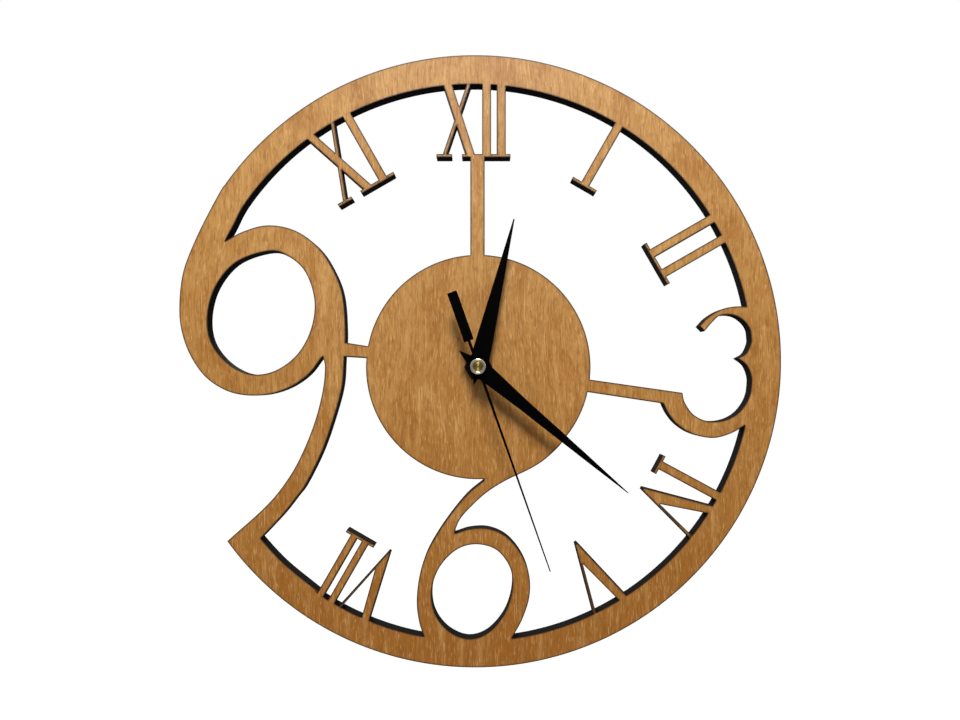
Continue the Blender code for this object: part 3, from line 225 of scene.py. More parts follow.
def veneer(name, light, deep, dark_fibre, pale_streak, scorch):
    material, tree, shader, place = new_material(name, IOR=1.5, Specular_IOR_Level=0.36)

    # The grain isn't quite straight, so its coordinates are pushed sideways by a slow noise.
    slow = add(tree, "Mapping", {"Vector": place, "Scale": per_mm(*GRAIN_SWAY)})
    slow = add(tree, "TexNoise", {"Vector": slow, "Scale": 1, "Detail": 1}).outputs["Color"]
    sway = add(tree, "VectorMath", {0: slow, 1: (0.5, 0.5, 0.5)}, operation="SUBTRACT")
    sway = add(tree, "VectorMath", {0: sway, 1: (GRAIN_DRIFT_MM * MM, 0, 0)}, operation="MULTIPLY")
    bent = add(tree, "VectorMath", {0: place, 1: sway}, operation="ADD")

    # Painted shade: below EVEN_ABOVE the colour darkens towards the dial's bottom, where the lamp's light
    # falls off.
    height = add(tree, "SeparateXYZ", {0: place}).outputs["Z"]
    painted_falloff = add(tree, "MapRange", {"Value": height, "From Min": EVEN_ABOVE, "From Max": dial_low.z})
    colour = add(tree, "Mix", {"Factor": painted_falloff, "A": linear(light), "B": linear(deep)}, data_type="RGBA")
    colour, _ = marked(tree, bent, colour, (
        (CLOUDS, 3, 0.42, 0.70, 0.60, deep), (FLAMES, 2, 0.48, 0.74, 0.24, pale_streak),
        (MOTTLES, 4, 0.48, 0.70, 0.45, dark_fibre), (FIBRES, 4, 0.46, 0.68, 0.50, dark_fibre),
        (FLECKS, 3, 0.52, 0.74, 0.45, pale_streak), (STREAKS, 1, 0.67, 0.76, 0.45, pale_streak),
    ))
    colour, pores = marked(tree, bent, colour, ((PORES, 1, 0.60, 0.75, 0.30, dark_fibre),))

    edge = add(tree, "Attribute", attribute_name="edge_mm").outputs["Fac"]
    uneven = add(tree, "Mapping", {"Vector": place, "Scale": per_mm(*SMOKE_PUFFS)})
    uneven = add(tree, "TexNoise", {"Vector": uneven, "Scale": 1, "Detail": 3})
    halo = add(tree, "MapRange", {"Value": edge, "From Max": SCORCH_HALO_MM,
                                  "To Min": SCORCH_HALO_STRENGTH, "To Max": 0})
    smoke = add(tree, "Math", {0: halo, 1: uneven}, operation="MULTIPLY")
    line = add(tree, "MapRange", {"Value": edge, "From Min": SCORCH_LINE_MM / 2,
                                  "From Max": SCORCH_LINE_MM,
                                  "To Min": SCORCH_LINE_STRENGTH, "To Max": 0})
    burnt = add(tree, "Math", {0: smoke, 1: line}, operation="MAXIMUM")
    colour = add(tree, "Mix", {"Factor": burnt, "A": colour, "B": linear(scorch)}, data_type="RGBA")

    spread = add(tree, "Mapping", {"Vector": bent, "Scale": per_mm(*FIBRES)})
    fibre = add(tree, "TexNoise", {"Vector": spread, "Scale": 1, "Detail": 3})
    relief = add(tree, "Math", {0: fibre, 1: pores}, operation="SUBTRACT")
    bump = add(tree, "Bump", {"Height": relief, "Strength": 0.25, "Distance": FIBRE_RELIEF_MM * MM})
    sheen = add(tree, "MapRange", {"Value": fibre, "From Min": 0.3, "From Max": 0.7,
                                   "To Min": VENEER_ROUGHNESS[0], "To Max": VENEER_ROUGHNESS[1]})
    wire(shader, {"Base Color": colour, "Roughness": sheen, "Normal": bump})
    return material


stained_veneer = veneer("stained birch veneer", "#B48343", "#965B13", "#855114", "#E3B473", "#33200C")
bare_veneer = veneer("bare birch veneer", "#D9B88A", "#CFA873", "#A98352", "#E9CD9D", "#4A3320")
print("veneers made")


# %% [markdown]
# ## The charred edge
#
# A laser burns its way through plywood, so the cut walls are covered in black char. The five plies still show
# as faint bands, because the glue burns darker than the wood, and the beam's pulses leave fine upright lines
# across the wall. Char is matt, nearly black, and rubs off brown.

# %% Charred edge
PLY_MM = 1.2
PULSE_MM = 0.35


def charred_edge():
    material, tree, shader, place = new_material("laser-charred plywood edge", Roughness=0.95,
                                                  IOR=1.4, Specular_IOR_Level=0.1)
    depth = add(tree, "SeparateXYZ", {0: place}).outputs["Y"]
    layer = add(tree, "Math", {0: depth, 1: math.pi / (PLY_MM * MM)}, operation="MULTIPLY")
    band = add(tree, "MapRange", {"Value": add(tree, "Math", {0: layer}, operation="SINE"),
                                  "From Min": -0.4, "From Max": 0.9}, interpolation_type="SMOOTHSTEP")
    colour = add(tree, "Mix", {"Factor": band, "A": linear("#040302"), "B": linear("#0D0805")},
                 data_type="RGBA")
    pulses = (PULSE_MM, 4.0, PULSE_MM)
    colour, pulse = marked(tree, place, colour, ((pulses, 2, 0.45, 0.75, 0.6, "#020101"),))
    bump = add(tree, "Bump", {"Height": pulse, "Strength": 0.5, "Distance": 0.08 * MM})
    wire(shader, {"Base Color": colour, "Normal": bump})
    return material


char = charred_edge()


# %% [markdown]
# ## Paint, metal and plastic
#
# Most of the other pieces come from a mould, a press or a plating bath. Such a finish is one colour with
# faint marks in it and a fine grain that both roughens the gloss and stands up as relief. One recipe makes
# them all, and each is told what the real surface is: its colour, its marks and its grain in millimetres.

# %% Plain finishes
def finish(name, base, marks, grain, relief_mm, gloss, **constants):
    """A finish with marks over its base colour, and a grain that sets its gloss and its relief."""
    material, tree, shader, place = new_material(name, **constants)
    colour, _ = marked(tree, place, linear(base), marks)
    spread = add(tree, "Mapping", {"Vector": place, "Scale": per_mm(*grain)})
    noise = add(tree, "TexNoise", {"Vector": spread, "Scale": 1, "Detail": 2})
    rough = add(tree, "MapRange", {"Value": noise, "From Min": 0.3, "From Max": 0.7,
                                   "To Min": gloss[0], "To Max": gloss[1]})
    bump = add(tree, "Bump", {"Height": noise, "Strength": 0.4, "Distance": relief_mm * MM})
    wire(shader, {"Base Color": colour, "Roughness": rough, "Normal": bump})
    return material


# The hands are pressed aluminium under a thin matt black spray. The spray leaves a fine orange peel.
black_paint = finish(
    "matt black spray paint on aluminium", "#010101",
    (((4, 4, 4), 3, 0.5, 0.8, 0.5, "#040404"), ((0.25, 0.25, 0.25), 1, 0.72, 0.8, 0.5, "#0A0A0A")),
    (0.5, 0.5, 0.5), 0.02, (0.55, 0.7), IOR=1.5, Specular_IOR_Level=0.02,
)

# Black oxide grows in the steel's surface: a dark metal, with a bluish bloom and faint rubbed patches.
blackened_steel = finish(
    "blackened steel", "#17171A",
    (((1.5, 1.5, 1.5), 3, 0.5, 0.75, 0.6, "#22242A"), ((0.4, 0.4, 0.4), 2, 0.66, 0.78, 0.5, "#3A3A3C")),
    (0.15, 0.15, 0.15), 0.01, (0.38, 0.55), Metallic=0.9,
)

# Sheet and bar steel is ground or drawn bright, then nickel-plated: fine lines in one direction.
bright_steel = finish(
    "nickel-plated steel", "#B9B8B2",
    (((5, 5, 1.5), 3, 0.5, 0.8, 0.5, "#A19F98"), ((0.2, 2.0, 0.2), 2, 0.6, 0.8, 0.4, "#8C8A84")),
    (0.12, 1.5, 1.5), 0.008, (0.24, 0.38), Metallic=1.0,
)

# ABS takes the texture of its mould, and a movement's mould is spark-eroded: an even fine grain, which is
# drawn at half a millimetre here because the real tenth of one is too fine to show.
black_abs = finish(
    "spark-eroded black ABS", "#121213",
    (((14, 14, 14), 3, 0.5, 0.8, 0.5, "#19191B"), ((0.5, 0.5, 0.5), 2, 0.55, 0.8, 0.35, "#202022")),
    (0.5, 0.5, 0.5), 0.05, (0.48, 0.62), IOR=1.54,
)

# Acetal is waxy and slightly cloudy, and comes out of a polished mould.
acetal = finish(
    "moulded acetal", "#E6E2D6",
    (((3, 3, 3), 3, 0.5, 0.8, 0.6, "#DAD4C4"), ((0.6, 0.6, 0.6), 2, 0.68, 0.8, 0.4, "#C9C2AE")),
    (0.4, 0.4, 0.4), 0.01, (0.30, 0.42), IOR=1.48,
)

# The washer is stamped out of a rubber sheet that still carries its talc.
rubber = finish(
    "black sheet rubber", "#171615",
    (((2, 2, 2), 4, 0.5, 0.8, 0.5, "#2B2927"), ((0.3, 0.3, 0.3), 2, 0.66, 0.8, 0.5, "#3C3936")),
    (0.35, 0.35, 0.35), 0.04, (0.75, 0.92), IOR=1.52,
)

# A rotor magnet is pressed and sintered powder: dark grey, matt and grainy.
ferrite = finish(
    "sintered ferrite", "#2C2B2D",
    (((0.8, 0.8, 0.8), 3, 0.5, 0.75, 0.6, "#3A393B"), ((0.2, 0.2, 0.2), 1, 0.66, 0.76, 0.6, "#151416")),
    (0.2, 0.2, 0.2), 0.02, (0.5, 0.66), IOR=1.9,
)

# A chip's body is moulded epoxy, with a finer matt grain than the case.
epoxy = finish(
    "moulded epoxy", "#1B1B1D",
    (((1, 1, 1), 3, 0.5, 0.8, 0.5, "#252528"), ((0.15, 0.15, 0.15), 1, 0.66, 0.8, 0.4, "#303034")),
    (0.12, 0.12, 0.12), 0.01, (0.55, 0.7), IOR=1.55,
)
print("plain finishes made")


# %% [markdown]
# ## Finishes with a pattern of their own
#
# Four finishes have a regular pattern. A lathe leaves rings on the brass boss. The coil shows its wire, turn
# by turn. The circuit board has copper tracks under green lacquer, and the cell wears a printed sleeve.

# %% Turned brass
TOOL_MARK_MM = 0.22
PALE_RIM_MM = (2.35, 2.75)


def turned_brass():
    """Brass off the lathe: a polished rim, coloured near white partly as a painted highlight, and a face with
    rings drawn three times as coarse as they are.
    """
    material, tree, shader, place = new_material("turned brass", Metallic=1.0, Anisotropic=0.9,
                                                  Anisotropic_Rotation=0.25)
    flat = add(tree, "VectorMath", {0: place, 1: (1, 0, 1)}, operation="MULTIPLY")
    radius = add(tree, "VectorMath", {0: flat}, operation="LENGTH").outputs["Value"]
    turns = add(tree, "Math", {0: radius, 1: 2 * math.pi / (TOOL_MARK_MM * MM)}, operation="MULTIPLY")
    ring = add(tree, "Math", {0: turns}, operation="SINE")
    face, _ = marked(tree, place, linear("#A8904E"), (
        ((1.2, 1.2, 1.2), 3, 0.45, 0.75, 0.5, "#8A733A"), ((0.3, 0.3, 0.3), 2, 0.64, 0.8, 0.4, "#6E5A2A"),
    ))
    # Painted highlight in part: the rim is coloured near white for its polish and for the bright reflection
    # along it.
    polish_and_highlight = add(tree, "MapRange", {"Value": radius, "From Min": PALE_RIM_MM[0] * MM,
                                    "From Max": PALE_RIM_MM[1] * MM})
    colour = add(tree, "Mix", {"Factor": polish_and_highlight, "A": face, "B": linear("#EFE8D6")}, data_type="RGBA")
    rough = add(tree, "MapRange", {"Value": polish_and_highlight, "To Min": 0.34, "To Max": 0.22})
    bump = add(tree, "Bump", {"Height": ring, "Strength": 0.3, "Distance": 0.01 * MM})
    round_it = add(tree, "Tangent", direction_type="RADIAL", axis="Y")
    wire(shader, {"Base Color": colour, "Roughness": rough, "Normal": bump, "Tangent": round_it})
    return material


brass = turned_brass()


# %% Copper winding
WIRE_MM = 0.24


def wound_copper():
    """Enamelled copper wire, drawn twice as thick as the real tenth of a millimetre so that it shows."""
    material, tree, shader, place = new_material("enamelled copper wire", Metallic=0.85, Coat_Weight=0.4)
    along = add(tree, "SeparateXYZ", {0: place}).outputs["X"]
    turns = add(tree, "Math", {0: along, 1: 2 * math.pi / (WIRE_MM * MM)}, operation="MULTIPLY")
    turn = add(tree, "Math", {0: turns}, operation="SINE")
    colour, _ = marked(tree, place, linear("#B4622A"), (
        ((2, 1, 1), 3, 0.45, 0.75, 0.5, "#8E4216"), ((0.5, 0.3, 0.3), 2, 0.62, 0.8, 0.4, "#D88A4C"),
    ))
    # Painted shade: the colour darkens to deep brown in the groove between turns, where shade falls between
    # round wires.
    painted_groove_shade = add(tree, "MapRange", {"Value": turn, "From Min": -1, "From Max": -0.4, "To Min": 0.8, "To Max": 0})
    colour = add(tree, "Mix", {"Factor": painted_groove_shade, "A": colour, "B": linear("#3A1606")}, data_type="RGBA")
    rough = add(tree, "MapRange", {"Value": turn, "From Min": -1, "To Min": 0.5, "To Max": 0.25})
    bump = add(tree, "Bump", {"Height": turn, "Strength": 0.8, "Distance": 0.08 * MM})
    wire(shader, {"Base Color": colour, "Roughness": rough, "Normal": bump})
    return material


copper = wound_copper()


# %% Circuit board
TRACK_MM = (2.6, 0.9)


def lacquered_board():
    """Green lacquer over glass epoxy: the copper tracks below it show as paler green lanes."""
    material, tree, shader, place = new_material("green solder lacquer", IOR=1.55, Coat_Weight=0.3)
    flat = add(tree, "SeparateXYZ", {0: place})
    board = add(tree, "CombineXYZ", {"X": flat.outputs["Z"], "Y": flat.outputs["X"]})
    tracks = add(tree, "TexBrick", {
        "Vector": board, "Color1": (0, 0, 0, 1), "Color2": (0.25, 0.25, 0.25, 1), "Mortar": (1, 1, 1, 1),
        "Scale": 1, "Mortar Size": 0.16 * MM, "Mortar Smooth": 0.1,
        "Brick Width": TRACK_MM[0] * MM, "Row Height": TRACK_MM[1] * MM,
    }, offset=0.37)
    colour = add(tree, "Mix", {"Factor": tracks.outputs["Fac"], "A": linear("#17522D"),
                               "B": linear("#2F7D46")}, data_type="RGBA")
    colour, _ = marked(tree, place, colour, (((1.5, 1.5, 1.5), 3, 0.5, 0.8, 0.4, "#0F3D20"),))
    bump = add(tree, "Bump", {"Height": tracks.outputs["Fac"], "Strength": 0.6, "Distance": 0.03 * MM})
    wire(shader, {"Base Color": colour, "Roughness": 0.32, "Normal": bump})
    return material


green_board = lacquered_board()


# %% Cell sleeve
cell_low, cell_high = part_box("battery")
SLEEVE_BAND_MM = (9.0, 10.2)


def shrunk_sleeve():
    """A printed film shrunk on to the cell: a plain body, a pale band and a dark end by the plus."""
    material, tree, shader, place = new_material("shrunk vinyl sleeve", IOR=1.53, Coat_Weight=0.5)
    along = add(tree, "SeparateXYZ", {0: place}).outputs["X"]
    from_plus = add(tree, "Math", {0: along, 1: cell_low.x}, operation="SUBTRACT")
    near, far = (edge * MM for edge in SLEEVE_BAND_MM)
    past_near = add(tree, "Math", {0: from_plus, 1: near}, operation="GREATER_THAN")
    past_far = add(tree, "Math", {0: from_plus, 1: far}, operation="GREATER_THAN")
    colour = add(tree, "Mix", {"Factor": past_near, "A": linear("#26282C"), "B": linear("#E4E2DC")},
                 data_type="RGBA")
    colour = add(tree, "Mix", {"Factor": past_far, "A": colour, "B": linear("#3F6E8C")}, data_type="RGBA")
    colour, _ = marked(tree, place, colour, (((6, 6, 6), 3, 0.5, 0.8, 0.3, "#35607B"),))
    spread = add(tree, "Mapping", {"Vector": place, "Scale": per_mm(5, 0.6, 0.6)})
    wrinkle = add(tree, "TexNoise", {"Vector": spread, "Scale": 1, "Detail": 1})
    rough = add(tree, "MapRange", {"Value": wrinkle, "From Min": 0.3, "From Max": 0.7,
                                   "To Min": 0.26, "To Max": 0.40})
    bump = add(tree, "Bump", {"Height": wrinkle, "Strength": 0.15, "Distance": 0.03 * MM})
    wire(shader, {"Base Color": colour, "Roughness": rough, "Normal": bump})
    return material


sleeve = shrunk_sleeve()


# %% [markdown]
# ## Making a piece
#
# Every piece below is a mesh built in code. One function takes the finished mesh, shades it smooth with its
# real corners kept sharp, gives it its materials, lets it ride on the body of the solid that it stands for,
# and hides that solid, which stays in the physics model for collision.

# %% Making a piece
CORNER_ANGLE = math.radians(30)
WELD = 0.001 * MM


def new_piece(name, bm, node, finishes, corner=CORNER_ANGLE):
    """Makes a piece of a mesh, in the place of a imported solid."""
    bmesh.ops.remove_doubles(bm, verts=bm.verts, dist=WELD)
    bmesh.ops.dissolve_degenerate(bm, dist=WELD / 10, edges=bm.edges)
    bmesh.ops.recalc_face_normals(bm, faces=bm.faces)
    mesh = bpy.data.meshes.new(name)
    bm.to_mesh(mesh)
    bm.free()
    mesh.shade_smooth()
    mesh.set_sharp_from_angle(angle=corner)
    for material in finishes:
        mesh.materials.append(material)
    piece = bpy.data.objects.new(name, mesh)
    bpy.context.collection.objects.link(piece)
    piece.modifiers.new("flat faces stay flat", "WEIGHTED_NORMAL").keep_sharp = True
    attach(piece, body_of[node])
    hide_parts(node)
    print(name, len(mesh.polygons), "faces")
    return piece


def bridged(bm, rings, material=0, closed=True):
    """Joins each ring of vertices to the next with quads."""
    for upper, lower in zip(rings, rings[1:]):
        count = len(upper)
        for k in range(count if closed else count - 1):
            onward = (k + 1) % count
            corners = (upper[k], lower[k], lower[onward], upper[onward])
            bm.faces.new(dict.fromkeys(corners)).material_index = material


# %% [markdown]
# ## Smoothing the dial's outline
#
# The solid's outline is a chain of short straight lines. A cut by a laser is smooth except where the drawing
# has a corner, so the lines are read from the solid's front face, joined into loops, and rounded: wherever
# two lines meet at a small angle, a curve through the points takes their place, and real corners stay. Long
# straight lines are divided, because the scorch beside them needs points to hold its distance.

# %% Outline of the dial
GENTLE_BEND = math.radians(22)
SMOOTH_STEPS = 3
LONGEST_STEP, SHORTEST_LINE = 2.4 * MM, 0.6 * MM
STRAIGHT_BEND = 1e-4
MOST_UNEVEN = 3


def outline_loops(node, depth):
    """The closed outlines of a solid's flat face at this depth, as lists of (x, z)."""
    bm = bmesh.new()
    bm.from_mesh(nodes[node].data)
    bmesh.ops.remove_doubles(bm, verts=bm.verts, dist=WELD)
    face_on = [f for f in bm.faces if all(abs(v.co.y - depth) < WELD for v in f.verts)]
    inside = set(face_on)
    ahead = {}
    for face in face_on:
        for loop in face.loops:
            if not any(other in inside for other in loop.edge.link_faces if other is not face):
                ahead[loop.vert.index] = loop.link_loop_next.vert.index
    places = {v.index: Vector((v.co.x, v.co.z)) for v in bm.verts}
    bm.free()
    loops = []
    while ahead:
        start, onward = ahead.popitem()
        loop = [places[start]]
        while onward != start:
            loop.append(places[onward])
            onward = ahead.pop(onward)
        loops.append(loop)
    return loops


def smoothed(loop):
    """The loop with its gentle bends rounded by a curve through the same points."""
    count = len(loop)
    ways = [loop[(i + 1) % count] - loop[i] for i in range(count)]
    bends = [abs(ways[i - 1].angle_signed(ways[i], 0)) for i in range(count)]
    line = []
    for i in range(count):
        start, end = loop[i], loop[(i + 1) % count]
        line.append(start)
        soft = (bends[i] < GENTLE_BEND, bends[(i + 1) % count] < GENTLE_BEND)
        before = loop[i - 1] if soft[0] else 2 * start - end
        after = loop[(i + 2) % count] if soft[1] else 2 * end - start
        bend_here = max(bends[i], bends[(i + 1) % count])
        if ways[i].length < SHORTEST_LINE or not any(soft) or bend_here < STRAIGHT_BEND:
            continue
        reach = MOST_UNEVEN * ways[i].length
        if (before - start).length > reach or (after - end).length > reach:
            continue
        for step in range(1, SMOOTH_STEPS):
            t = step / SMOOTH_STEPS
            even = 2 * start + (end - before) * t
            bend = (2 * before - 5 * start + 4 * end - after) * t ** 2
            twist = (3 * start - before - 3 * end + after) * t ** 3
            line.append((even + bend + twist) / 2)
    return line


def divided(loop):
    """The loop with its long lines cut into short ones."""
    line = []
    for start, end in zip(loop, [*loop[1:], loop[0]]):
        steps = max(1, math.ceil((end - start).length / LONGEST_STEP))
        line += [start.lerp(end, step / steps) for step in range(steps)]
    return line


def kept_within(loop):
    """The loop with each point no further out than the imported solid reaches."""
    return [Vector((min(max(p.x, dial_low.x), dial_high.x), min(max(p.y, dial_low.z), dial_high.z)))
            for p in loop]


dial_loops = [kept_within(divided(smoothed(loop))) for loop in outline_loops("plywood_dial", FRONT_Y)]
print(len(dial_loops), "outlines,", sum(map(len, dial_loops)), "points")


# %% [markdown]
# ## Building the plywood dial
#
# Only the outline matters to the shape: two faces and a wall between them. The edge between face and wall is
# broken by a bevel of a tenth of a millimetre, as sanding leaves it, so that it catches the light. The faces
# need points close to the cuts, to carry the distance that the scorch follows, so rings of points are laid
# beside each outline, and one triangulation takes them all.

# %% Measuring beside the cuts
EDGE_BREAK = 0.12 * MM
RING_OFFSETS = (0.35 * MM, 0.8 * MM, 1.6 * MM)
SHARPEST_MITRE = 0.5
RING_SHARE_KEPT = 0.9
NO_LENGTH, SAME_POINT = 1e-16, 1e-9


def moved_in(loop, distance):
    """The loop's points moved to the left of its way, which is into the material."""
    moved = []
    for before, point, after in zip([loop[-1], *loop], loop, [*loop[1:], loop[0]]):
        sides = [(b - a).orthogonal().normalized() for a, b in ((before, point), (point, after))]
        mitre = sides[0] + sides[1]
        moved.append(point + mitre * (distance / max(mitre.dot(sides[0]), SHARPEST_MITRE)))
    return moved


def distance_to_edges(points, loops):
    """The distance from each point to the nearest line of the loops."""
    starts = np.array([p for loop in loops for p in loop])
    ends = np.array([p for loop in loops for p in [*loop[1:], loop[0]]])
    ways = ends - starts
    square = np.maximum((ways ** 2).sum(axis=1), NO_LENGTH)
    nearest = np.empty(len(points))
    for k, point in enumerate(points):
        share = np.clip(((point - starts) * ways).sum(axis=1) / square, 0, 1)
        nearest[k] = ((starts + ways * share[:, None] - point) ** 2).sum(axis=1).min()
    return np.sqrt(nearest)


def turned_material_left(loops):
    """The loops with the material on their left: the outer one anticlockwise, the holes clockwise."""
    sizes = [sum(a.cross(b) for a, b in zip(loop, [*loop[1:], loop[0]])) for loop in loops]
    outer = max(range(len(loops)), key=lambda k: abs(sizes[k]))
    return [loop if (sizes[k] > 0) == (k == outer) else loop[::-1] for k, loop in enumerate(loops)]


def inside_of(points, loops):
    """Whether each point lies inside the loops, counting the crossings of a level line."""
    starts = np.array([p for loop in loops for p in loop])
    ends = np.array([p for loop in loops for p in [*loop[1:], loop[0]]])
    found = np.zeros(len(points), bool)
    for k, (x, z) in enumerate(points):
        crossing = (starts[:, 1] > z) != (ends[:, 1] > z)
        first, last = starts[crossing], ends[crossing]
        at = first[:, 0] + (z - first[:, 1]) * (last[:, 0] - first[:, 0]) / (last[:, 1] - first[:, 1])
        found[k] = (at > x).sum() % 2
    return found


# %% Plywood dial
def face_pattern(loops, rims):
    """The triangles of a face: its points, its triangles, and the point at each place of the rims."""
    beside = [p for offset in RING_OFFSETS for loop in loops for p in moved_in(loop, offset)]
    wanted = np.repeat(RING_OFFSETS, sum(map(len, loops)))
    beside = np.array(beside)
    keep = (distance_to_edges(beside, loops) > RING_SHARE_KEPT * wanted) & inside_of(beside, loops)
    points = [p for rim in rims for p in rim] + [Vector(p) for p in beside[keep]]
    edges, first = [], 0
    for rim in rims:
        edges += [(first + k, first + (k + 1) % len(rim)) for k in range(len(rim))]
        first += len(rim)
    places, _, triangles, origins, _, _ = delaunay_2d_cdt(points, edges, [], 0, SAME_POINT, True)
    middles = np.array([sum((places[i] for i in t), Vector((0, 0))) / 3 for t in triangles])
    shown = [t for t, kept in zip(triangles, inside_of(middles, rims)) if kept]
    at_rim = {source: k for k, sources in enumerate(origins) for source in sources}
    return places, shown, at_rim


def plywood_sheet(loops):
    """Two faces and the cut walls between them. Each point of a face holds its distance to the cuts."""
    loops = turned_material_left(loops)
    places, shown, at_rim = face_pattern(loops, [moved_in(loop, EDGE_BREAK) for loop in loops])
    depths = distance_to_edges(np.array([tuple(p) for p in places]), loops) / MM
    bm = bmesh.new()
    layer = bm.verts.layers.float.new("edge_mm")
    faces = []
    for y, turn, slot in ((FRONT_Y, 1, 0), (BACK_Y, -1, 1)):
        made = [bm.verts.new((p.x, y, p.y)) for p in places]
        for vert, depth in zip(made, depths):
            vert[layer] = max(depth - EDGE_BREAK / MM, 0)
        for t in shown:
            bm.faces.new([made[i] for i in t[::turn]]).material_index = slot
        faces.append(made)
    first = 0
    for loop in loops:
        rims = [[made[at_rim[first + k]] for k in range(len(loop))] for made in faces]
        walls = [[bm.verts.new((p.x, y, p.y)) for p in loop]
                 for y in (FRONT_Y + EDGE_BREAK, BACK_Y - EDGE_BREAK)]
        bridged(bm, [rims[0], *walls, rims[1]], material=2)
        first += len(loop)
    bmesh.ops.delete(bm, geom=[v for v in bm.verts if not v.link_faces], context="VERTS")
    new_piece("plywood_sheet", bm, "plywood_dial", (stained_veneer, bare_veneer, char), GENTLE_BEND)


plywood_sheet(dial_loops)


# %% [markdown]
# ## Turned pieces
#
# The boss, the bush and the cell are round, so each is a profile turned about an axis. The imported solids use
# few facets. These have enough that no flat shows, and the small details of the real ones: a rolled rim and
# a dished face on the boss, and a thread that climbs as a real one does, one turn for each pitch.

# %% Turning a profile
FACETS = 96
ON_AXIS = WELD / 10


def turned(bm, profile, facets=FACETS, along="y", place=(0, 0, 0), material=0):
    """Turns a profile of (radius, depth) about an axis through a place: y towards the viewer, or x."""
    rings = []
    for radius, depth in profile:
        ring = []
        for k in range(facets):
            angle = 2 * math.pi * k / facets
            out = (radius * math.cos(angle), radius * math.sin(angle))
            at = (out[0], -depth, out[1]) if along == "y" else (depth, out[0], out[1])
            ring.append(bm.verts.new(Vector(at) + Vector(place)))
        rings.append(ring)
    bridged(bm, rings, material)
    return rings


def rounded_corner(before, corner, after, radius, steps=4):
    """Points round a corner of a profile, between two straight lines."""
    corner = Vector(corner)
    ways = [(Vector(p) - corner).normalized() * radius for p in (before, after)]
    ends = [corner + way for way in ways]
    return [tuple(ends[0].lerp(corner, t).lerp(corner.lerp(ends[1], t), t))
            for t in (k / steps for k in range(steps + 1))]


# %% Brass boss
boss_low, boss_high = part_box("second_hand_boss")
BOSS_RADIUS, BOSS_FACE = boss_high.x, -boss_low.y
BOSS_HEIGHT, BOSS_STEM, BOSS_BORE = 1.3 * MM, 1.1 * MM, 0.6 * MM
RIM_WIDTH, RIM_ROUND, FACE_DROP, CONE_RISE = 1.2 * MM, 0.5 * MM, 0.40 * MM, 0.12 * MM
RIM_SLOPE, FOOT_ROUND = 0.06 * MM, 0.1 * MM
CONE_STEPS = 8


def brass_boss():
    """A pin with a broad round rim and a sunk face that rises a little to its middle, on a hollow stem."""
    under = BOSS_FACE - BOSS_HEIGHT
    profile = [(BOSS_BORE, -boss_high.y), (BOSS_STEM, -boss_high.y), (BOSS_STEM, under)]
    profile += rounded_corner((BOSS_STEM, under), (BOSS_RADIUS, under), (BOSS_RADIUS, BOSS_FACE), FOOT_ROUND)
    inner, face = BOSS_RADIUS - RIM_WIDTH, BOSS_FACE - FACE_DROP
    outer_foot, inner_foot = (BOSS_RADIUS, under), (inner, face)
    outer_top, inner_top = (BOSS_RADIUS, BOSS_FACE), (inner, BOSS_FACE - RIM_SLOPE)
    profile += rounded_corner(outer_foot, outer_top, inner_top, RIM_ROUND, 8)
    profile += rounded_corner(outer_top, inner_top, inner_foot, RIM_ROUND / 2)
    for step in range(CONE_STEPS + 1):
        share = step / CONE_STEPS
        profile.append((inner * (1 - share) + ON_AXIS, face + CONE_RISE * share))
    bm = bmesh.new()
    rings = turned(bm, profile)
    bm.faces.new(rings[-1])
    inside = turned(bm, [(BOSS_BORE, -boss_high.y), (BOSS_BORE, under)])
    bm.faces.new(inside[-1])
    new_piece("turned_boss", bm, "second_hand_boss", (brass,))


brass_boss()


# %% [markdown]
# ## Nut and bush
#
# The nut is pressed and tapped, with its corners chamfered at thirty degrees on both faces. A point of its
# outline is as far out as the hexagon there, and the chamfer drops it by how far it stands past the circle.
# The bush's thread is a ridge whose height depends on both the depth and the angle, so it climbs as it turns.

# %% Blackened nut
nut_low, nut_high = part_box("hex_nut")
NUT_HALF_FLATS = nut_high.z
NUT_START, NUT_END = -nut_high.y, -nut_low.y
NUT_BORE, NUT_LEAD, NUT_FACE_SHARE = 4.1 * MM, 0.35 * MM, 0.95
CHAMFER_SLOPE = math.tan(math.radians(30))


def hex_nut():
    bm = bmesh.new()
    rings = [[] for _ in range(8)]
    for k in range(FACETS):
        angle = 2 * math.pi * k / FACETS
        off_flat = angle % (math.pi / 3) - math.pi / 6
        reach = NUT_HALF_FLATS / math.cos(off_flat)
        face = NUT_HALF_FLATS * NUT_FACE_SHARE
        drop = (reach - face) * CHAMFER_SLOPE
        profile = ((NUT_BORE, NUT_START + NUT_LEAD), (NUT_BORE + NUT_LEAD, NUT_START), (face, NUT_START),
                   (reach, NUT_START + drop), (reach, NUT_END - drop), (face, NUT_END),
                   (NUT_BORE + NUT_LEAD, NUT_END), (NUT_BORE, NUT_END - NUT_LEAD))
        for ring, (radius, depth) in zip(rings, profile):
            ring.append(bm.verts.new((radius * math.cos(angle), -depth, radius * math.sin(angle))))
    bridged(bm, [*rings, rings[0]])
    new_piece("blackened_nut", bm, "hex_nut", (blackened_steel,))


hex_nut()


# %% Threaded bush
bush_low, bush_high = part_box("threaded_bush")
BUSH_RADIUS, BUSH_BORE = 4.0 * MM, 2.58 * MM
FLANGE_RADIUS, FLANGE_END = bush_high.x, -bush_high.y + 1.0 * MM
BUSH_END = -bush_low.y
THREAD_PITCH, THREAD_DEPTH, THREAD_STEPS = 0.9 * MM, 0.3 * MM, 8
PLAIN_NECK, END_FADE = 0.4 * MM, 1.6
THREAD_CORNER = math.radians(50)


